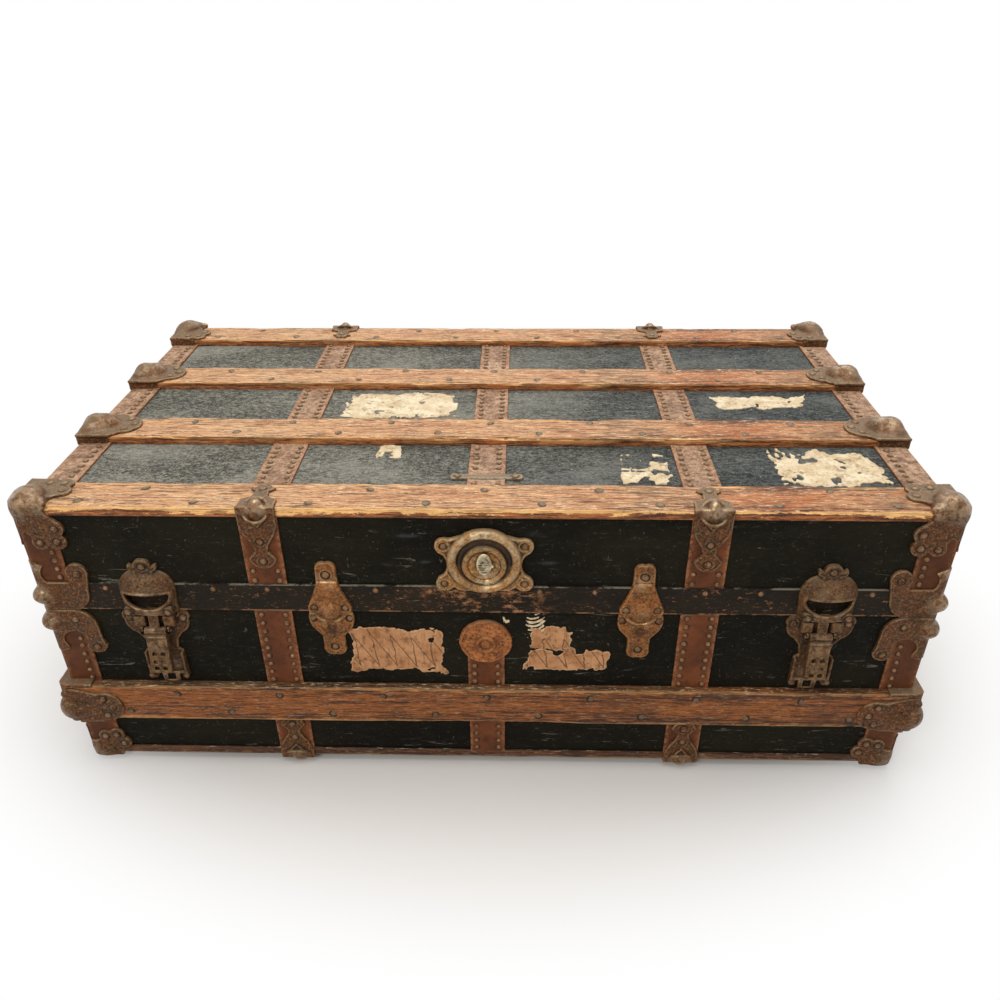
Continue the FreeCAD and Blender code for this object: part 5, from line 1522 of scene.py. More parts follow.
def at_corners(chunk, corner_x, corner_y, height):
    return four_corners([chunk.moved(-corner_x, -corner_y, height)])


def lid_corner():
    palm = traced((-2.5, 14), (-2.5, -19), (3, -21, 8, -18), (14, -24), (22, -27), (34, -25), (39, -10),
                  (40, -5), (31, 4), (29, 14))
    rivets = [(20, -30), (37, -29), (38, -14)]
    lobes = [(20, -30, 8.4), (37, -29, 9.2), (38, -14, 8.6)]
    front = leaf("front", drawn(palm, lobes), INTO, LEAF, 0.7, rivets)
    shoulder = traced((-2.5, 6), (-2.5, 51), (22, 50), (34, 47), (42, 36), (40, 20), (31, 12), (20, 3))
    on_slat = [(21, 42), (36, 41), (40, 27)]
    lobes = [(21, 42, 9.0), (36, 41, 9.4), (40, 27, 8.6)]
    top = leaf("top", drawn(shoulder, lobes), 9.6, 12.6, 0.6, on_slat)
    channel = brick((-2.5, -2.5, -0.4), (32, 50.8, 11.0), 2.4)
    dome = ball((13, 12, 6), (18.4, 18.4, 17.6)).joined(link((16, 9, 10), 12, (32, -0.5, 12.5), 4.2), 7)
    body = front.doubled(1.5).joined(channel, 1.2).joined(top, 0.8)
    ridge = link((11, 18, 7), 14.5, (9, 40, 7), 8.0)
    body = round_corner(body).joined(dome.joined(ridge, 6), 3.5)
    polish_and_shade_spots = [((10, 6, 15), 15, 1.0), ((30, 0, 13), 9, 0.8)]
    return skin(body, (-8, -8, -41), (50, 53, 25), 1.12, polish_and_shade_spots)


def cast(name, body, chunks, *nodes):
    piece(name, body, "cast_hardware", CAST_IRON, chunks, *nodes)


cast("Lid_corners", "lid", at_corners(lid_corner(), FIBRE_X, FIBRE_Y, LID_TOP))

# %% [markdown]
# ## Rim clamps
# Beside the split, one clamp on the lid and one on the box hold each corner. Each has an egg-shaped knob
# where the two faces meet, and a leaf with a round eye or a hooked foot.

# %% Rim clamps
def rim_clamps():
    upper = traced((-2.5, 0.8), (-2.5, 60), (4, 60), (14, 55), (9, 45, 13, 35), (36, 35), (36, 42),
                   (46, 58, 56, 43), (52, 22), (48, 9, 37, 0.8))
    lid_leaf = leaf("front", drawn(upper), INTO, LEAF, 0.5, [(46, 46), (22, 10)], crown=0.7)
    lid_knob = ball((3.5, 3.5, 17), (10.8, 10.8, 8.6)).joined(link((8, -1, 15), 5, (24, -2, 9), 1.8), 5)
    lid_leaf = round_corner(lid_leaf.doubled(1.2)).with_both(lid_knob, 5, 4)
    polish_and_shade_spots = [((0, 0, 19), 12, 0.9), ((6, -2, 57), 9, 0.8)]
    lid_clamp = skin(lid_leaf, (-12, -12, 0), (58, 58, 62), 1.15, polish_and_shade_spots)
    lower = traced((-2.5, -0.2), (30, -0.2), (44.5, -6.5, 51, -22), (52, -40), (55, -47), (44, -57, 33, -48),
                   (36, -42), (35, -33), (23, -28, 10.5, -42), (14, -50), (13, -53), (2, -56), (-2.5, -50))
    box_leaf = leaf("front", drawn(lower), INTO, LEAF, 0.5, [(44, -49), (30, -12)], crown=0.7)
    box_knob = ball((3.5, 3.5, -17), (10.8, 10.8, 9.2)).joined(link((8, -1, -15), 5, (26, -2, -8), 2), 5)
    box_leaf = round_corner(box_leaf.doubled(1.2)).with_both(box_knob, 5, 4)
    box_clamp = skin(box_leaf, (-12, -12, -59), (58, 58, 0), 1.15, [((0, 0, -14), 12, 0.7)])
    return lid_clamp, box_clamp


for clamp, body in zip(rim_clamps(), ("lid", "box")):
    cast(f"{body.title()}_rim_clamps", body, at_corners(clamp, FIBRE_X, FIBRE_Y, SPLIT))

# %% [markdown]
# ## Clamps on the box's lower corners
# One grips the ends of the two slats where they meet, with a long bulging knuckle. The one below it is the
# foot the trunk stands on, so its knob is worn flat.

# %% Slat clamps and feet
def lower_clamps():
    outline = traced((-2.5, 46), (12, 44.5), (36, 37), (46, 38.5), (64, 19, 46, -0.5), (34, -2.5),
                     (-2.5, -2.5))
    front = leaf("front", drawn(outline), INTO - 6, LEAF, 0.5, [(52, 19), (44, 31), (44, 7)])
    knuckle = link((7, 7, 15), 15.8, (32, 5, 12), 7.5).joined(link((2, -1, 34), 2.4, (40, -2, 27), 1.6), 4)
    lip = brick((5.5, 5.5, -12), (32, 12, 1), 1.0)
    clamp = front.doubled(1.5).with_both(lip, 4)
    cap = brick((-2.2, -2.2, 46), (35, 11, 51.2), 0.8)
    clamp = round_corner(clamp.with_both(cap)).with_both(knuckle, 4)
    slat_clamp = skin(clamp, (-11, -11, -13), (66, 66, 52), 1.3, [((-4, -4, 16), 12, 0.5)])
    palm = traced((-2.5, -12.5), (-2.5, 9), (8, 10), (14, 12), (26, 15), (38, 13), (40, 1), (37, -3),
                  (34, -12.5))
    lobes = [(20, 18, 8.0), (33, 20, 8.6), (39, 7, 8.2)]
    foot_leaf = leaf("front", drawn(palm, lobes), INTO, LEAF, 0.5, [(20, 18), (33, 20), (39, 7)])
    channel = brick((-2.5, -2.5, -12.4), (34, 51, 0.4), 2.5)
    knob = ball((14, 13, -3), (18.6, 18.6, 18.6))
    foot = round_corner(foot_leaf.doubled(1.5).joined(channel, 1.2)).joined(knob, 3.5)
    foot = foot.less(brick((-60, -60, -90), (120, 120, -19.87), 0.1), 1.5)
    foot = skin(foot, (-8, -8, -20.4), (50, 53, 31), 1.25, [((4, 2, -8), 15, 0.35)])
    return slat_clamp, foot


slat_grip, foot = lower_clamps()
cast("Box_slat_clamps", "box", at_corners(slat_grip, SLAT_FACE_X, SLAT_FACE_Y, BOX_SLAT_Z))
cast("Bottom_corners", "box", at_corners(foot, FIBRE_X, FIBRE_Y, BOX_BOTTOM))

# %% [markdown]
# ## Clamps along the slats
# A smooth loaf of iron caps each end of the two middle slats, and a clamp with a drop-shaped knob holds the
# edge slat down where a strap passes under it. The same patterns are cast smaller in the knob for the bottom
# and turned over.

# %% End clamps and strap clamps
def end_clamp(knob_r, rise, step):
    """Along the slat, across it, and the height over the board."""
    outline = traced((-2.5, -27.2), (34, -27.2), (44, -19), (62, 1, 44, 21), (34, 27.2), (-2.5, 27.2))
    top = leaf("top", drawn(outline), 9.6, 12.5, 0.5, [(54, 2), (46, -10), (46, 14)])
    channel = brick((-2.3, -26.2, -0.4), (33, 26.2, 10.6), 0.8)
    leg = brick((-2.5, -20, -22), (1.8, 20, 11), 0.8)
    loaf = link((12, 0, rise), knob_r, (24, 0, rise), knob_r * 0.97)
    for side in (-1, 1):
        lobe = link((10, side * 11, rise - 3), knob_r * 0.84, (24, side * 9, rise - 4), knob_r * 0.7)
        loaf = loaf.joined(lobe, 6)
    loaf = loaf.joined(link((24, 0, rise - 1), knob_r * 0.8, (46, 1, 9), 3.2), 6)
    form = top.joined(channel, 0.6).joined(leg, 1.5).joined(loaf, 4)
    return skin(form, (-4, -28, -23), (64, 28, rise + knob_r + 1), step, [((16, 0, rise + 6), 17, 0.8)])


def strap_clamp(lift, step):
    """Along the slat from the strap's middle, inwards from the fibre, and the height over the board."""
    leg_half = traced((0, 12.5), (19, 12.5), (19, -8), (16, -18), (8, -31), (6.5, -38), (14, -47),
                      (9.5, -55, 4, -58.5), (0, -59))
    leg_half = leg_half + (0, lift) * (leg_half[:, 1:] < 0)
    rivets = [(0, lift - 27), (0, lift - 50)]
    leg = leaf("front", drawn(both_sides(leg_half)), INTO, LEAF, 0.6, rivets, crown=0.5)
    over_half = traced((0, 41), (7, 40, 8, 36), (13, 34.5), (7, 29), (8, 19), (18, 14), (18, -2.5), (0, -2.5))
    over = leaf("top", drawn(both_sides(over_half)), 9.6, 12.5, 0.5, [(0, 33)])
    sides = brick((-18.5, -2.5, 0), (18.5, 8, 11.5), 0.9)
    knob = ball((0, 3, 8), (7.8, 9.0, 11.2))
    ring = hoop((0, 1.0, 7.5), (0, -0.75, 0.66), 12.4, 1.5)
    tip = link((6.5, -3.4, -1.5), 1.3, (0, -3.2, -9), 1.1).paired()
    form = leg.joined(over, 1.2).joined(sides, 1.2).joined(ring, 1.6).joined(tip, 1.2).joined(knob, 2.0)
    if lift:
        form = form.less(brick((-60, -60, 20), (60, 60, 60), 0.1), 1.0)
    return skin(form, (-20, -9, -60 + lift), (20, 43, 21), step * 0.92, [((0, -2, 13), 11, 0.95)])


def turned_over(chunks):
    return [c.placed(np.diag((1, 1, -1)), (0, 0, LID_TOP + BOX_BOTTOM)) for c in chunks]


def slat_rows(node):
    low, high = islands(node)
    return sorted({round(float(y), 1) for y in (low[:, 1] + high[:, 1]) / 2})


def clamps_along(knob_r, rise, lift, step):
    cap = end_clamp(knob_r, rise, step)
    caps = [cap.moved(-FIBRE_X, y, LID_TOP) for y in slat_rows("lid_slat_clamps")]
    strap_low, strap_high = islands("lid_bands")
    strap_x = float((strap_low + strap_high)[:, 0].max() / 2)
    strap = strap_clamp(lift, step).moved(strap_x, -FIBRE_Y, LID_TOP)
    return left_and_right(caps), four_corners([strap])


top_caps, top_straps = clamps_along(14.0, 11.5, 0, 1.12)
low_caps, low_straps = clamps_along(12.0, 8.0, 7, 1.4)
cast("Lid_slat_clamps", "lid", top_caps)
cast("Lid_strap_clamps", "lid", top_straps, "lid_band_clamps")
cast("Bottom_slat_clamps", "box", turned_over(low_caps))
cast("Bottom_strap_clamps", "box", turned_over(low_straps), "bottom_band_clamps")

# %% [markdown]
# ## Lock, latches and guides
# These sit on the front, so they are drawn around their own centre: across, depth from the canvas (outwards
# is below zero), and the height over the split. The lock is a plate with four ears, a rolled arch, and a bowl
# round the keyhole. A ribbed cover swings over the hole.

# %% Lock
def on_front(chunk, x, height=0.0):
    return chunk.moved(x, -HALF_D, SPLIT + height)


def mid(node, axis):
    """The middle of a CAD node's box along one axis, in millimetres."""
    return (face_of(node, axis, 0) + face_of(node, axis, 1)) / 2


def lock():
    outline = traced((-25, -36.5), (25, -36.5), (31, -32), (38, -35), (45, -21), (37, -6, 45, 10), (38, 24),
                     (22, 29), (0, 36.5, -22, 29), (-38, 24), (-45, 10), (-37, -6, -45, -21), (-38, -35),
                     (-31, -32))
    ears = [(sx * 40, z) for sx in (-1, 1) for z in (17, -28)]
    plate = leaf("front", drawn(outline, [(*ear, 8.8) for ear in ears], 3), -0.5, 4.0, 0.6, ears)
    arch = hoop((0, -5.2, 0), 1, 32.2, 4.6).within(brick((-60, -30, -36.4), (60, 10, 60), 0.3), 1)
    ring = hoop((0, -5.2, -4), 1, 19.4, 3.0).joined(rod((0, -4, -4), 1, 19, 2.6), 1)
    case = plate.joined(arch, 2.2).joined(ring, 2.0)
    case = case.less(ball((0, -15.5, -4), (16.4, 11.5, 16.4)), 1.2)
    case = case.joined(rod((0, -6, 9), 1, 1.6, 5), 0.6)
    case = case.less(rod((0, -4, -8), 1, 2.4, 3), 0.4)
    # Strengths below zero paint the keyhole bowl and the inside of the arch dark, partly as grime and partly as
    # painted shade.
    polish_and_shade_spots = [((4, -9.6, -23), 10, 1.0), ((0, -4, -4), 11, -0.6)]
    for angle in np.radians(np.arange(-30, 211, 15)):
        across, up = math.cos(angle), math.sin(angle)
        polish_and_shade_spots.append(((32 * across, -10, 32 * up), 6.5, 0.45 + 0.5 * max(0.0, up)))
    for angle in np.radians(np.arange(5, 176, 10)):
        polish_and_shade_spots.append(((25 * math.cos(angle), -4, 25 * math.sin(angle) - 2), 4.5, -1.0))
    return skin(case, (-50, -12, -38), (50, 1, 38), 1.0, polish_and_shade_spots)


def cover():
    drop = ball((0, -10.2, 0), (7.6, 1.9, 13.0)).joined(ball((7.8, -10.2, -2), (1.9, 1.3, 1.9)), 1)
    for height in (-6.6, -3.8, -1.0, 1.8):
        drop = drop.joined(link((-4.6, -11.3, height), 0.75, (4.6, -11.3, height), 0.75), 0.5)
    return skin(drop, (-9, -13, -14), (11, -8, 14), 0.6, [((0, -12, -2), 14, 0.9)])


LOCK_Z = mid("keyhole_cover", 2) - SPLIT
piece("Lock_case", "lid", "lock_metal", LOCK_BRASS, [on_front(lock(), 0, LOCK_Z)])
piece("Keyhole_cover", "keyhole_cover", "lock_metal", COVER_METAL, [on_front(cover(), 0, LOCK_Z)])

# %% [markdown]
# ## Strike plate
# The round plate under the lock once took its hasp. The hasp is gone, and the bare steel has rusted to a
# rough, flaking red.

# %% Strike plate
def strike_plate():
    def disc(u, v):
        return np.hypot(u, v) - 27.6 + rumple(u, v, 7, 5) * 0.5

    plate = leaf("front", disc, -0.5, 3.7, 0.8, [(-17, 9), (17, 9), (0, -20)])
    plate = plate.joined(hoop((0, -4.0, -3), 1, 9.0, 1.7), 1.2)
    plate = plate.joined(ball((0, -3.6, -3), (4.6, 2.2, 4.6)), 0.8)
    flaked = Form(lambda x, y, z: plate(x, y, z) + 0.1 * rumple(x, z + y, 2.2, 8) * (y < -2.5))
    return skin(flaked, (-29, -6.5, -29), (29, 1, 29), 0.9)


PLATE_Z = face_of("lock_plate", 2, 0) + PLATE_R - SPLIT
piece("Strike_plate", "box", "rust_plate", RUST_PLATE, [on_front(strike_plate(), 0, PLATE_Z)], "lock_plate")

# %% [markdown]
# ## Drawbolts
# Each side latch has three castings. The hood on the lid is a hollow dome with a half-moon window. The base
# on the box has two loops, two eyes for the pin and a frame. The lever between them is a perforated channel
# with a tongue that reaches up behind the window's lower edge.

# %% Hood
def hood():
    half = traced((0, 52), (10, 51), (23, 44, 28, 22), (26.5, -26))
    measure = drawn(both_sides(half))

    def window(u, v):
        oval = (np.hypot(u / 22.5, (v - 24.5) / 15.5) - 1) * 15.5
        return -melt(-oval, 25.8 - v + 0.05 * abs(u), 1.5)

    def shell(inset, back, wall):
        def distance(x, y, z):
            flat = measure(x, z) + inset
            opening = window(x, z)
            rolled = 1.5 * np.exp(-(((opening - 1.6) / 1.5) ** 2)) * (wall == 0)
            slope = np.clip((z - 20) / 34, 0, 1) ** 1.5 * 5.5
            height = 5.0 + 9.2 * (1 - np.exp(flat / 7)) + rolled - wall - slope
            return -melt(-flat, -np.maximum(back + y, -y - height), 1.2)

        return Form(distance)

    dome = shell(0, -0.5, 0).less(shell(2.4, -3, 2.4), 0.5)
    hole = Form(lambda x, y, z: np.maximum(window(x, z), abs(y + 12) - 9.5))
    dome = dome.less(hole, 0.7).within(brick((-60, -40, 0.9), (60, 10, 90), 0.2), 0.6)
    bosses = rod((20.5, -11.2, 7), 1, 5.0, 4.2, 1.2).paired()
    lug_half = traced((0, 64), (6, 62.5, 9.5, 56.5), (13.6, 59), (15, 55, 13, 51.5), (10, 50), (10, 43),
                      (0, 43))
    lug = leaf("front", drawn(both_sides(lug_half)), -0.5, 4.6, 0.8, [(0, 56)])
    form = dome.joined(bosses, 1.6).joined(lug, 2.0)
    return skin(form, (-30, -17, 0.5), (30, 1, 66), 1.0, [((0, -13, 34), 16, 0.5), ((0, -15, 9), 12, 0.7)])


# %% Base
def base():
    half = traced((0, -2.2), (19, -2.2), (22, -6), (31, -1, 34, -12), (33, -20, 24, -30), (18, -38),
                  (16, -50), (20, -54), (21, -88), (16, -91), (10, -86), (9, -98.5), (0, -98.5))
    plate = leaf("front", drawn(both_sides(half)), -0.5, 2.2, 0.6, [(28, -10), (-28, -10)])
    plate = plate.less(brick((-4.2, -9, -96.5), (4.2, 9, -84), 0.4), 0.6)
    loop = brick((9, -9, -17.5), (21.2, 0, -4), 2.4).less(brick((11.4, -7.2, -14), (19, -2.6, 2), 0.8), 0.5)
    eye = rod((13.8, -8.5, -22), 0, 5.0, 1.3, 0.4).joined(brick((12.5, -8.5, -27), (15.1, 0, -17), 0.4), 0.6)
    rail = brick((18, -7, -90), (20.6, 0, -54), 1.0)
    rail = rail.joined(link((19.3, -6, -86), 2.6, (16.5, -3, -89), 3.0), 1.5)
    side = loop.joined(eye, 0.6).joined(rail, 1.2).paired()
    bar = link((-19, -4.4, -82.5), 1.9, (19, -4.4, -82.5), 1.9)
    form = plate.joined(side, 1.2).joined(bar, 1.5)
    # Strengths below zero paint the middle of the plate and the inside of each loop dark, partly as grime and
    # partly as painted shade.
    polish_and_shade_spots = [((0, -6, -83), 14, 1.0), ((0, -1, -30), 16, -0.7), ((15, -3, -8), 5, -0.9)]
    return skin(form, (-38, -10.5, -100), (38, 1, -1), 1.0, polish_and_shade_spots)


# %% Lever
def lever():
    """Around its own pin, standing straight up."""
    grip = brick((-11, -4.2, -50), (11, 4.4, -4), 1.3).less(brick((-8.9, -2.2, -48), (8.9, 8, -6), 0.5), 0.5)
    for row in (-27.0, -37.0, -45.0):
        for side in (-4.4, 4.4):
            grip = grip.less(rod((side, -4, row), 1, 2.7, 3, 0.2), 0.6)
    barrel = rod((0, 0, 0), 0, 4.2, 11.5, 0.8)
    shank = brick((-5.2, -2.6, -2), (5.2, -0.2, 17), 0.5)
    shank = shank.joined(brick((-5.2, -2.2, 13), (5.2, -0.9, 28), 0.4), 1.0)
    nose = link((-4, -1.5, 27), 0.8, (4, -1.5, 27), 0.8)
    lip = link((-10, -4.6, -6), 1.4, (10, -4.6, -6), 1.4)
    form = grip.joined(barrel, 1.5).joined(shank, 1.2).joined(nose, 0.8).joined(lip, 1.2)
    form = form.less(rod((0, 0, 0), 0, 1.6, 14, 0.1), 0.2)
    return skin(form, (-13, -8, -51), (13, 6, 36), 0.9, [((0, -4, -9), 12, 0.6), ((0, -4, 0), 7, 0.8)])


def right_x(node):
    """Where the middle of a node's solid on the right is, for a node with one on each side."""
    return (face_of(node, 0, 1) + islands(node)[0][:, 0].max()) / 2


REST_TILT = math.radians(8)
PIN_OUT = 8.5
PIN_DROP = 22.0
BOLT_X = right_x("drawbolt_pins")
leaning, upright = math.sin(REST_TILT), math.cos(REST_TILT)
tilted = [(1, 0, 0), (0, upright, leaning), (0, -leaning, upright)]
bolt_lever = lever().placed(tilted, (0, -HALF_D - PIN_OUT, SPLIT - PIN_DROP))
for side, sign in (("left", -1), ("right", 1)):
    hung = bolt_lever.moved(sign * BOLT_X, 0, 0)
    piece(f"{side.title()}_lever", f"{side}_lever", "lock_metal", BOLT_IRON, [hung])
piece("Drawbolt_hoods", "lid", "lock_metal", BOLT_IRON, left_and_right([on_front(hood(), BOLT_X)]))
piece("Drawbolt_bases", "box", "lock_metal", BOLT_IRON, left_and_right([on_front(base(), BOLT_X)]))

# %% [markdown]
# ## Guides
# A shield on each half of the trunk keeps the lid from sliding sideways. The upper one has a round nose that
# drops into the hollow of the lower one, whose lip is worn bright.

# %% Guides
def guide():
    upper = traced((0, 61.5), (8, 60.5, 10.5, 54), (11, 36), (17, 20), (22.5, 7), (22, 0.9), (0, 0.9))
    below_fold = traced((0, 40), (10.4, 40), (11, 36), (17, 20), (22.5, 7), (22, 0.9), (0, 0.9))
    tab = leaf("front", drawn(both_sides(upper)), -0.5, 4.0, 0.4, [(0, 48)])
    shield = leaf("front", drawn(both_sides(below_fold)), -0.5, 5.2, 0.3, [(16, 7), (-16, 7)], 1.2, 1.6)
    bump = ball((0, -4, 4), (10.6, 6.8, 12))
    upper = tab.joined(shield, 1.0).joined(bump, 4)
    nose = skin(upper, (-25, -12, -9), (25, 1, 63), 0.9, [((0, -4, 41), 9, 0.9), ((0, -10, 6), 9, 0.4)])
    lower = traced((0, -0.4), (22.5, -0.4), (23.5, -8, 21, -20), (12, -31), (11.5, -45), (9, -55, 0, -56.5))
    plate = leaf("front", drawn(both_sides(lower)), -0.5, 3.0, 0.6, [(0, -46), (19, -8), (-19, -8)], 1.0, 3.2)
    collar = hoop((0, -5.4, 8), 1, 18.0, 1.9).within(brick((-16, -20, -14), (16, 10, -3), 0.3), 1)
    plate = plate.joined(collar, 1.8).less(ball((0, -8, 4), (11.6, 8, 13)), 0.6)
    plate = plate.less(link((0, -9.5, -17), 7.2, (0, -7.5, -31), 3.0), 2.0)
    # The strength below zero paints the groove under the collar dark, partly as grime and partly as painted
    # shade.
    socket = skin(plate, (-26, -9, -58), (26, 1, 0), 0.9, [((0, -8, -9), 9, 1.0), ((0, -2, -22), 9, -0.5)])
    return nose, socket


for half, name, body in zip(guide(), ("Guide_noses", "Guide_sockets"), ("lid", "box")):
    at_guides = left_and_right([on_front(half, right_x("guide_noses"))])
    piece(name, body, "guide_metal", GUIDE_IRON, at_guides)

# %% [markdown]
# ## Lid strip, hinges and handle loops
# The strip on the lid was screwed across the centre strap behind the front slat. The hinges and handle loops
# can't be seen from the front, and they are plain: stamped leaves and cast brackets.

# %% Strip, hinges and loops
HANDLE_SPAN = 95.0
HANDLE_X = -HALF_W - 15.0
HANDLE_PIN_R = 5.5
HANDLE_Z = face_of("left_handle", 2, 1) - HANDLE_PIN_R


def strip():
    bar = np.array([(-36.5, -4.6), (36.5, -4.6), (36.5, 4.6), (-36.5, 4.6)], float)
    form = leaf("top", drawn(bar, [(-33, 0, 5.2), (33, 0, 5.2)], 1.5), 0, 3.2, 0.4, [(-30, 0), (30, 0)])
    return skin(form, (-39, -6, -0.5), (39, 6, 4.5), 0.8).moved(0.0, mid("lid_strip", 1), LID_TOP)


def hinge_leaves():
    """The lid's leaf and the box's, around the middle of the split, seen from the front."""
    tab = traced((-25, 5.2), (25, 5.2), (25, 26), (19, 31), (-19, 31), (-25, 26))
    lid = leaf("front", drawn(tab), 0, 4.2, 0.5).joined(brick((-10, -4.2, 0), (10, -2.2, 7), 0.3), 0.6)
    knuckle = rod((0, -8, 0), 0, 4.6, 10, 0.5).joined(brick((-10, -8, 0), (10, -3.4, 4.4), 0.3), 0.6)
    lid = lid.joined(knuckle, 0.8)
    notched = traced((-25, -52), (-19, -56), (0, -48), (19, -56), (25, -52), (25, -5.2), (-25, -5.2))
    box = leaf("front", drawn(notched), 0, 4.2, 0.5)
    knuckle = rod((18, -8, 0), 0, 4.6, 7, 0.5).joined(brick((11, -8, -4.4), (25, -3.4, 0), 0.3), 0.6)
    box = box.joined(brick((11, -4.2, -7), (25, -2.2, 0), 0.3).joined(knuckle, 0.6).paired(), 0.8)
    bore = rod((0, -8, 0), 0, 2.1, 60, 0.05)
    lid, box = lid.less(bore, 0.2), box.less(bore, 0.2)
    return skin(lid, (-26, -13.5, -5), (26, 0.5, 32), 1.3), skin(box, (-26, -13.5, -57), (26, 0.5, 5), 1.3)


def hinges():
    low, high = islands("hinge_pins")
    columns = (low + high)[:, 0] / 2
    for half, body in zip(hinge_leaves(), ("lid", "box")):
        leaves = [half.placed(np.diag((1, -1, 1)), (float(x), HALF_D, SPLIT)) for x in columns]
        piece(f"{body.title()}_hinge_leaves", body, "pin_steel", HINGE_STEEL, leaves)


def handle_loops():
    """Around the handle's pin: along the end, depth from the canvas, and height."""
    turned = traced((-15, -12), (-10, -17), (14, -17), (21, -10), (21, 10), (14, 17), (-10, 17), (-15, 12))
    plate = leaf("front", drawn(turned), -0.2, 2.6, 0.6, [(-10, 12), (16, 12), (-10, -12), (16, -12)])
    boss = rod((5, -15, 0), 0, 7.6, 8, 1.2).joined(brick((-3, -15, -7), (13, 0, 7), 1.0), 1.5)
    form = plate.joined(boss, 3).less(rod((2, -15, 0), 0, 3.1, 6, 0.2), 0.3)
    bracket = skin(form, (-17, -24, -19), (23, 1, 19), 1.25, [((5, -22, 0), 9, 0.8)])
    return four_corners([bracket.placed([(0, 1, 0), (1, 0, 0), (0, 0, 1)], (-HALF_W, HANDLE_SPAN, HANDLE_Z))])


piece("Lid_strip", "lid", "pin_steel", PIN_STEEL, [strip()])
hinges()
cast("Handle_loops", "box", handle_loops())

# %% [markdown]
# ## Leather handles
# Each end has a stitched leather strap that hangs in a shallow bow between two steel caps. The strap is swept
# along that bow. Its stitches follow both edges, above and below, and are driven heads again, very small and
# soft.

# %% Handles
HALF_BOW, SAG = 79.0, 35.0
SEAM, SEAM_OUT = 8.6, 3.9


def bow(step):
    """The handle's middle line from back to front pin, as (along, height), and its upward direction."""
    radius = (HALF_BOW**2 + SAG**2) / (2 * SAG)
    reach = math.asin(HALF_BOW / radius)
    angles = np.linspace(-reach, reach, int(2 * reach * radius / step) + 1)
    arc = np.c_[radius * np.sin(angles), radius * (1 - np.cos(angles)) - SAG]
    up = np.c_[-np.sin(angles), np.cos(angles)]
    ends = np.array([(-88.0, 0.0), (-84.0, 0.0)])
    level = np.array([(0.0, 1.0), (0.0, 1.0)])
    return np.r_[ends, arc, ends[::-1] * (-1, 1)], np.r_[level, up, level]


def handle():
    line, up = bow(3.0)
    path = np.c_[np.full(len(line), HANDLE_X), line[:, 0], HANDLE_Z + line[:, 1]]
    section, edge = bar_section(8.0, 22.0, 2.4, 2.2)
    leather = swept(path, across(0, up), section, edge, LEATHER, 0.5, 0.5, 18, 0.03, 80)
    thread, outs = [], []
    rows, row_up = bow(4.6)
    for side in (-SEAM, SEAM):
        for face in (-1, 1):
            spots = rows + row_up * face * SEAM_OUT
            thread.append(np.c_[np.full(len(rows), HANDLE_X + side), spots[:, 0], HANDLE_Z + spots[:, 1]])
            outs.append(across(0, row_up * face))
    points = loose_mesh("stitches", np.concatenate(thread), [], out=np.concatenate(outs))
    values = {"Radius": 1.25 * MM, "Height": 0.8 * MM, "Tip": 0.2, "Seed": 9, "Segments": 8, "Finish": THREAD}
    stitches = grown(points, HEADS, values)
    cap = brick((-11.4, 80, -5.4), (11.4, 89.5, 5.4), 1.6).joined(rod((0, 91, 0), 1, 5.6, 5, 0.8), 2.5)
    cap = cap.joined(rod((0, 96, 0), 1, 3.0, 6.5, 0.4), 1.0)
    cap = skin(cap, (-13, 79, -6), (13, 104, 6), 0.9, [((0, 90, 6), 8, 0.6)])
    cap = cap.moved(HANDLE_X, 0, HANDLE_Z)
    return leather, stitches, [cap, cap.mirrored(1, -1, 1)]


def handles():
    leather, stitches, caps = handle()
    for body, sign in (("left_handle", 1), ("right_handle", -1)):
        strap, sewn, *ends = [c.mirrored(sign, 1, 1) for c in [leather, stitches] + caps]
        name = body.capitalize()
        piece(name + "_strap", body, "handle_leather", LEATHER, [strap], body)
        piece(name + "_stitches", body, "handle_leather", THREAD, [sewn])
        piece(name + "_caps", body, "pin_steel", PIN_STEEL, ends)


handles()

# %% [markdown]
# ## Torn labels
# Paper labels were pasted on the lid and the front and have mostly been torn off. Each is a thin sheet whose
# outline is a rectangle eaten away by three sizes of noise. It is drawn as a form too, but two and a half
# times too thick, so that the grid can catch it, and pressed flat afterwards. They are bare: nothing is
# printed on them.

# %% Torn labels
PRESS = 0.4


def torn_label(side, plane, low, high, seed, rise, gaps, rough, strokes=0.0):
    """A torn sheet from low to high, both (across, up), whose face stands rise over the canvas. Holes open as
    gaps nears 0, rough tears its outline, and strokes cuts it into bowed lines that far apart."""
    middle, half = (np.add(low, high)) / 2, np.subtract(high, low) / 2
    top = rise / PRESS

    def distance(x, y, z):
        u, v = x + 0 * z, z + 0 * x
        box = np.maximum(abs(u - middle[0]) - half[0], abs(v - middle[1]) - half[1]) + 2.5
        torn = rumple(u, v, 15, seed) * 3.4 + rumple(u, v, 5, seed + 1) * 1.6
        torn = torn + rumple(u, v, 2.2, seed + 2) * 0.7
        holes = gaps + 9 * rumple(u, v, 13, seed + 3) + 3 * rumple(u, v, 4, seed + 4)
        flat = np.maximum(box + torn * rough, holes)
        if strokes:
            bowed = v - 0.05 * (u - middle[0] + 3) ** 2
            lines = 1.5 * np.sin(bowed * 2 * np.pi / strokes) + 0.6 + 1.6 * rumple(u, v, 6, seed + 9)
            flat = np.maximum(flat, lines)
        curl = np.exp(-((flat + 1.0) ** 2) / 3) * (0.5 + rumple(u, v, 11, seed + 5)) * 1.2
        height = top + 0.35 * rumple(u, v, 9, seed + 6) + np.maximum(curl, 0)
        return np.maximum(flat * 0.8, np.maximum(y, -y - height))

    thick = skin(Form(distance), (low[0] - 6, -top - 2.5, low[1] - 6), (high[0] + 6, 0.5, high[1] + 6), 1.25)
    return laid(thick.placed([(1, 0, 0), (0, 0, 1), (0, -PRESS, 0)]), side, plane)


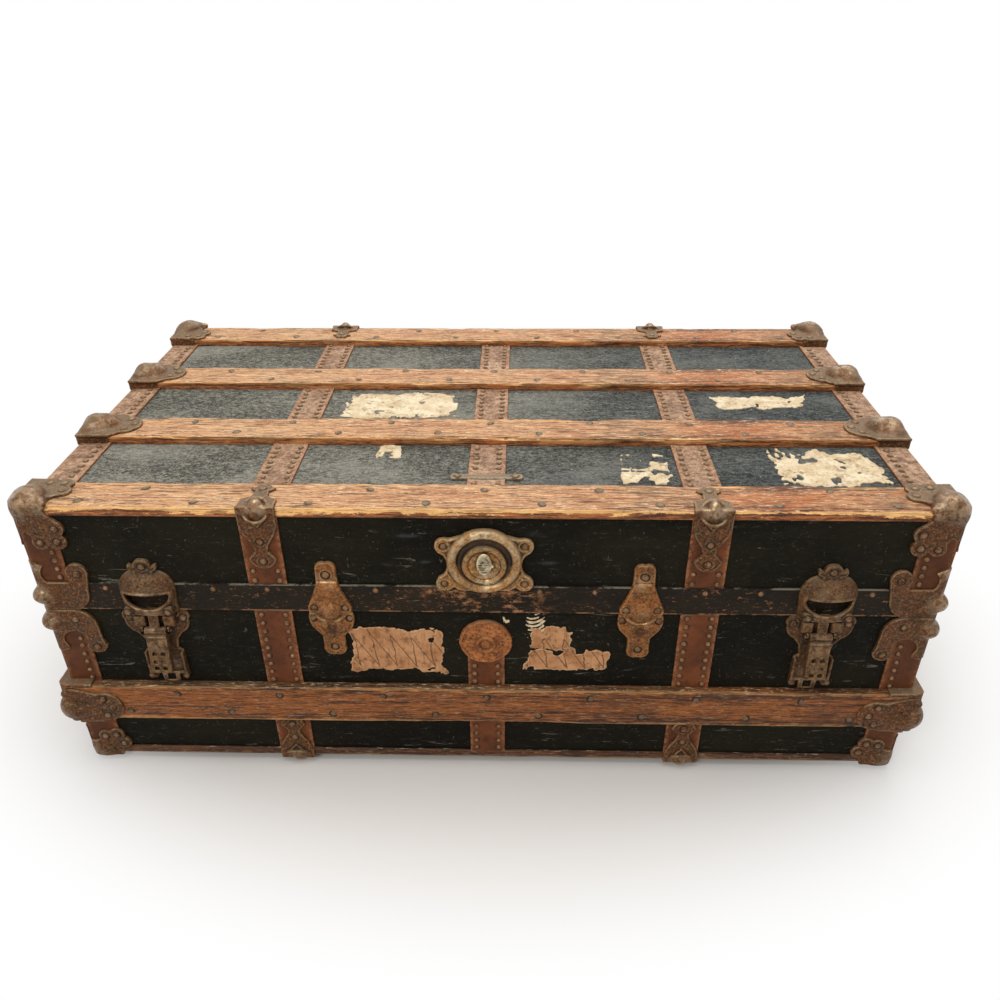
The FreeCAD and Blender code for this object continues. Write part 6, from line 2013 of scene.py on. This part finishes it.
def labels(name, body, finish, side, plane, rows):
    piece(name, body, "lining", finish, [torn_label(side, plane, *row) for row in rows])


labels("Front_labels", "box", TAN_PAPER, "front", HALF_D, [
    ((-146, 138), (-42, 199), 4, 1.1, -9.0, 1.25),
    ((44, 170), (92, 202), 12, 1.1, -4.5, 1.5),
    ((42, 142), (134, 173), 23, 1.1, -3.2, 1.4),
])
labels("Paint_drips", "box", CREAM_PAPER, "front", HALF_D, [
    ((40, 182), (63, 222), 31, 1.0, -3.0, 0.6, 5.2),
    ((14, 203), (28, 217), 37, 1.0, -1.0, 0.6),
])
labels("Lid_labels", "lid", CREAM_PAPER, "top", LID_TOP, [
    ((-180, -28), (-42, 38), 41, 1.4, -7.0, 2.0),
    ((266, -2), (380, 34), 52, 1.4, -7.5, 1.7),
    ((304, -182), (410, -108), 63, 1.4, -5.0, 2.3),
    ((138, -184), (194, -116), 74, 1.4, 0.0, 0.8),
    ((-122, -132), (-92, -98), 85, 1.4, -1.2, 0.7),
])

# %% [markdown]
# ## Camera, light and floor
# The camera stands almost a metre in front and looks down at the lid. A small lamp at the front left draws
# highlights on the castings, a large one overhead lights the lid, and one behind gives the lid its sheen. The
# floor is pale and keeps the soft shadow; far from the trunk it fades into a white that only the camera,
# mirrors and glass see.

# %% Camera
camera = bpy.data.objects.new("Camera", bpy.data.cameras.new("Camera"))
camera.data.lens = 30.996
camera.data.sensor_width = 36.0
camera.data.clip_start = 0.01
camera.location = (0.0347, -0.9437, 0.7760)
camera.rotation_euler = [math.radians(a) for a in (58.813, 0.3616, 1.3297)]
bpy.context.scene.collection.objects.link(camera)
bpy.context.scene.camera = camera

# %% Lamps
def lamp(name, place, target, size, power, colour):
    light = bpy.data.lights.new(name, "AREA")
    light.shape = "RECTANGLE"
    light.size, light.size_y = size
    light.energy = power
    light.color = colour
    obj = bpy.data.objects.new(name, light)
    aim = np.asarray(target, float) - np.asarray(place, float)
    from_above = math.atan2(math.hypot(aim[0], aim[1]), -aim[2])
    obj.rotation_euler = (from_above, 0, math.atan2(-aim[0], aim[1]))
    obj.location = place
    bpy.context.scene.collection.objects.link(obj)


lamp("Front lamp", (-1.2, -2.4, 2.1), (0, 0, 0.2), (1.1, 0.8), 30, (1.0, 0.94, 0.85))
lamp("Top lamp", (0.1, -0.1, 2.7), (0, 0, 0.3), (2.4, 1.6), 44, (1.0, 0.97, 0.93))
lamp("Sheen lamp", (0.5, 2.2, 2.3), (0, 0, 0.3), (2.6, 1.0), 26, (1.0, 0.98, 0.96))

# %% White surroundings
def looking_rays(tree):
    """1 for rays from the camera and for those that a mirror or a glass sends on, and 0 for soft light."""
    seen, mirrored, through = (tree.node("ShaderNodeLightPath", {}, {}, "Is " + kind + " Ray")
                               for kind in ("Camera", "Glossy", "Transmission"))
    return seen.most(mirrored).most(through)


def white_world():
    world = bpy.data.worlds.new("Studio")
    world.use_nodes = True
    bpy.context.scene.world = world
    t = Tree(world.node_tree)
    world.node_tree.nodes.clear()
    soft = t.node("ShaderNodeBackground", {}, {"Color": (1.0, 0.98, 0.95, 1.0), "Strength": 0.44})
    white = t.node("ShaderNodeBackground", {}, {"Color": (1.0, 1.0, 1.0, 1.0), "Strength": 1.0})
    shown = t.node("ShaderNodeMixShader", {}, {0: looking_rays(t), 1: soft, 2: white})
    t.node("ShaderNodeOutputWorld", {}, {"Surface": shown})


white_world()


def floor_finish():
    f = Finish("Floor", Roughness=0.7, Specular_IOR_Level=0.2, Base_Color=(0.76, 0.755, 0.75, 1.0))
    along, back = f.place.part("X") / 0.62, f.place.part("Y") / 0.42
    away = (along * along + back * back).rise(0.5, 1.5)
    glow = f.node("ShaderNodeEmission", {}, {"Color": (1.0, 1.0, 1.0, 1.0), "Strength": 1.0})
    grey = Wire(f, f.shader.outputs[0])
    mixed = f.node("ShaderNodeMixShader", {}, {0: away * looking_rays(f), 1: grey, 2: glow})
    f.tree.links.new(mixed.socket, f.tree.nodes["Material Output"].inputs["Surface"])
    return f.material


FLOOR_REACH = 12.0


def lay_floor():
    mesh = bpy.data.meshes.new("Floor")
    corners = [(x * FLOOR_REACH, y * FLOOR_REACH, 0) for x, y in ((-1, -1), (1, -1), (1, 1), (-1, 1))]
    mesh.from_pydata(corners, [], [(0, 1, 2, 3)])
    mesh.materials.append(floor_finish())
    floor = bpy.data.objects.new("Floor", mesh)
    bpy.context.scene.collection.objects.link(floor)


lay_floor()
bpy.context.scene.view_settings.view_transform = "Standard"
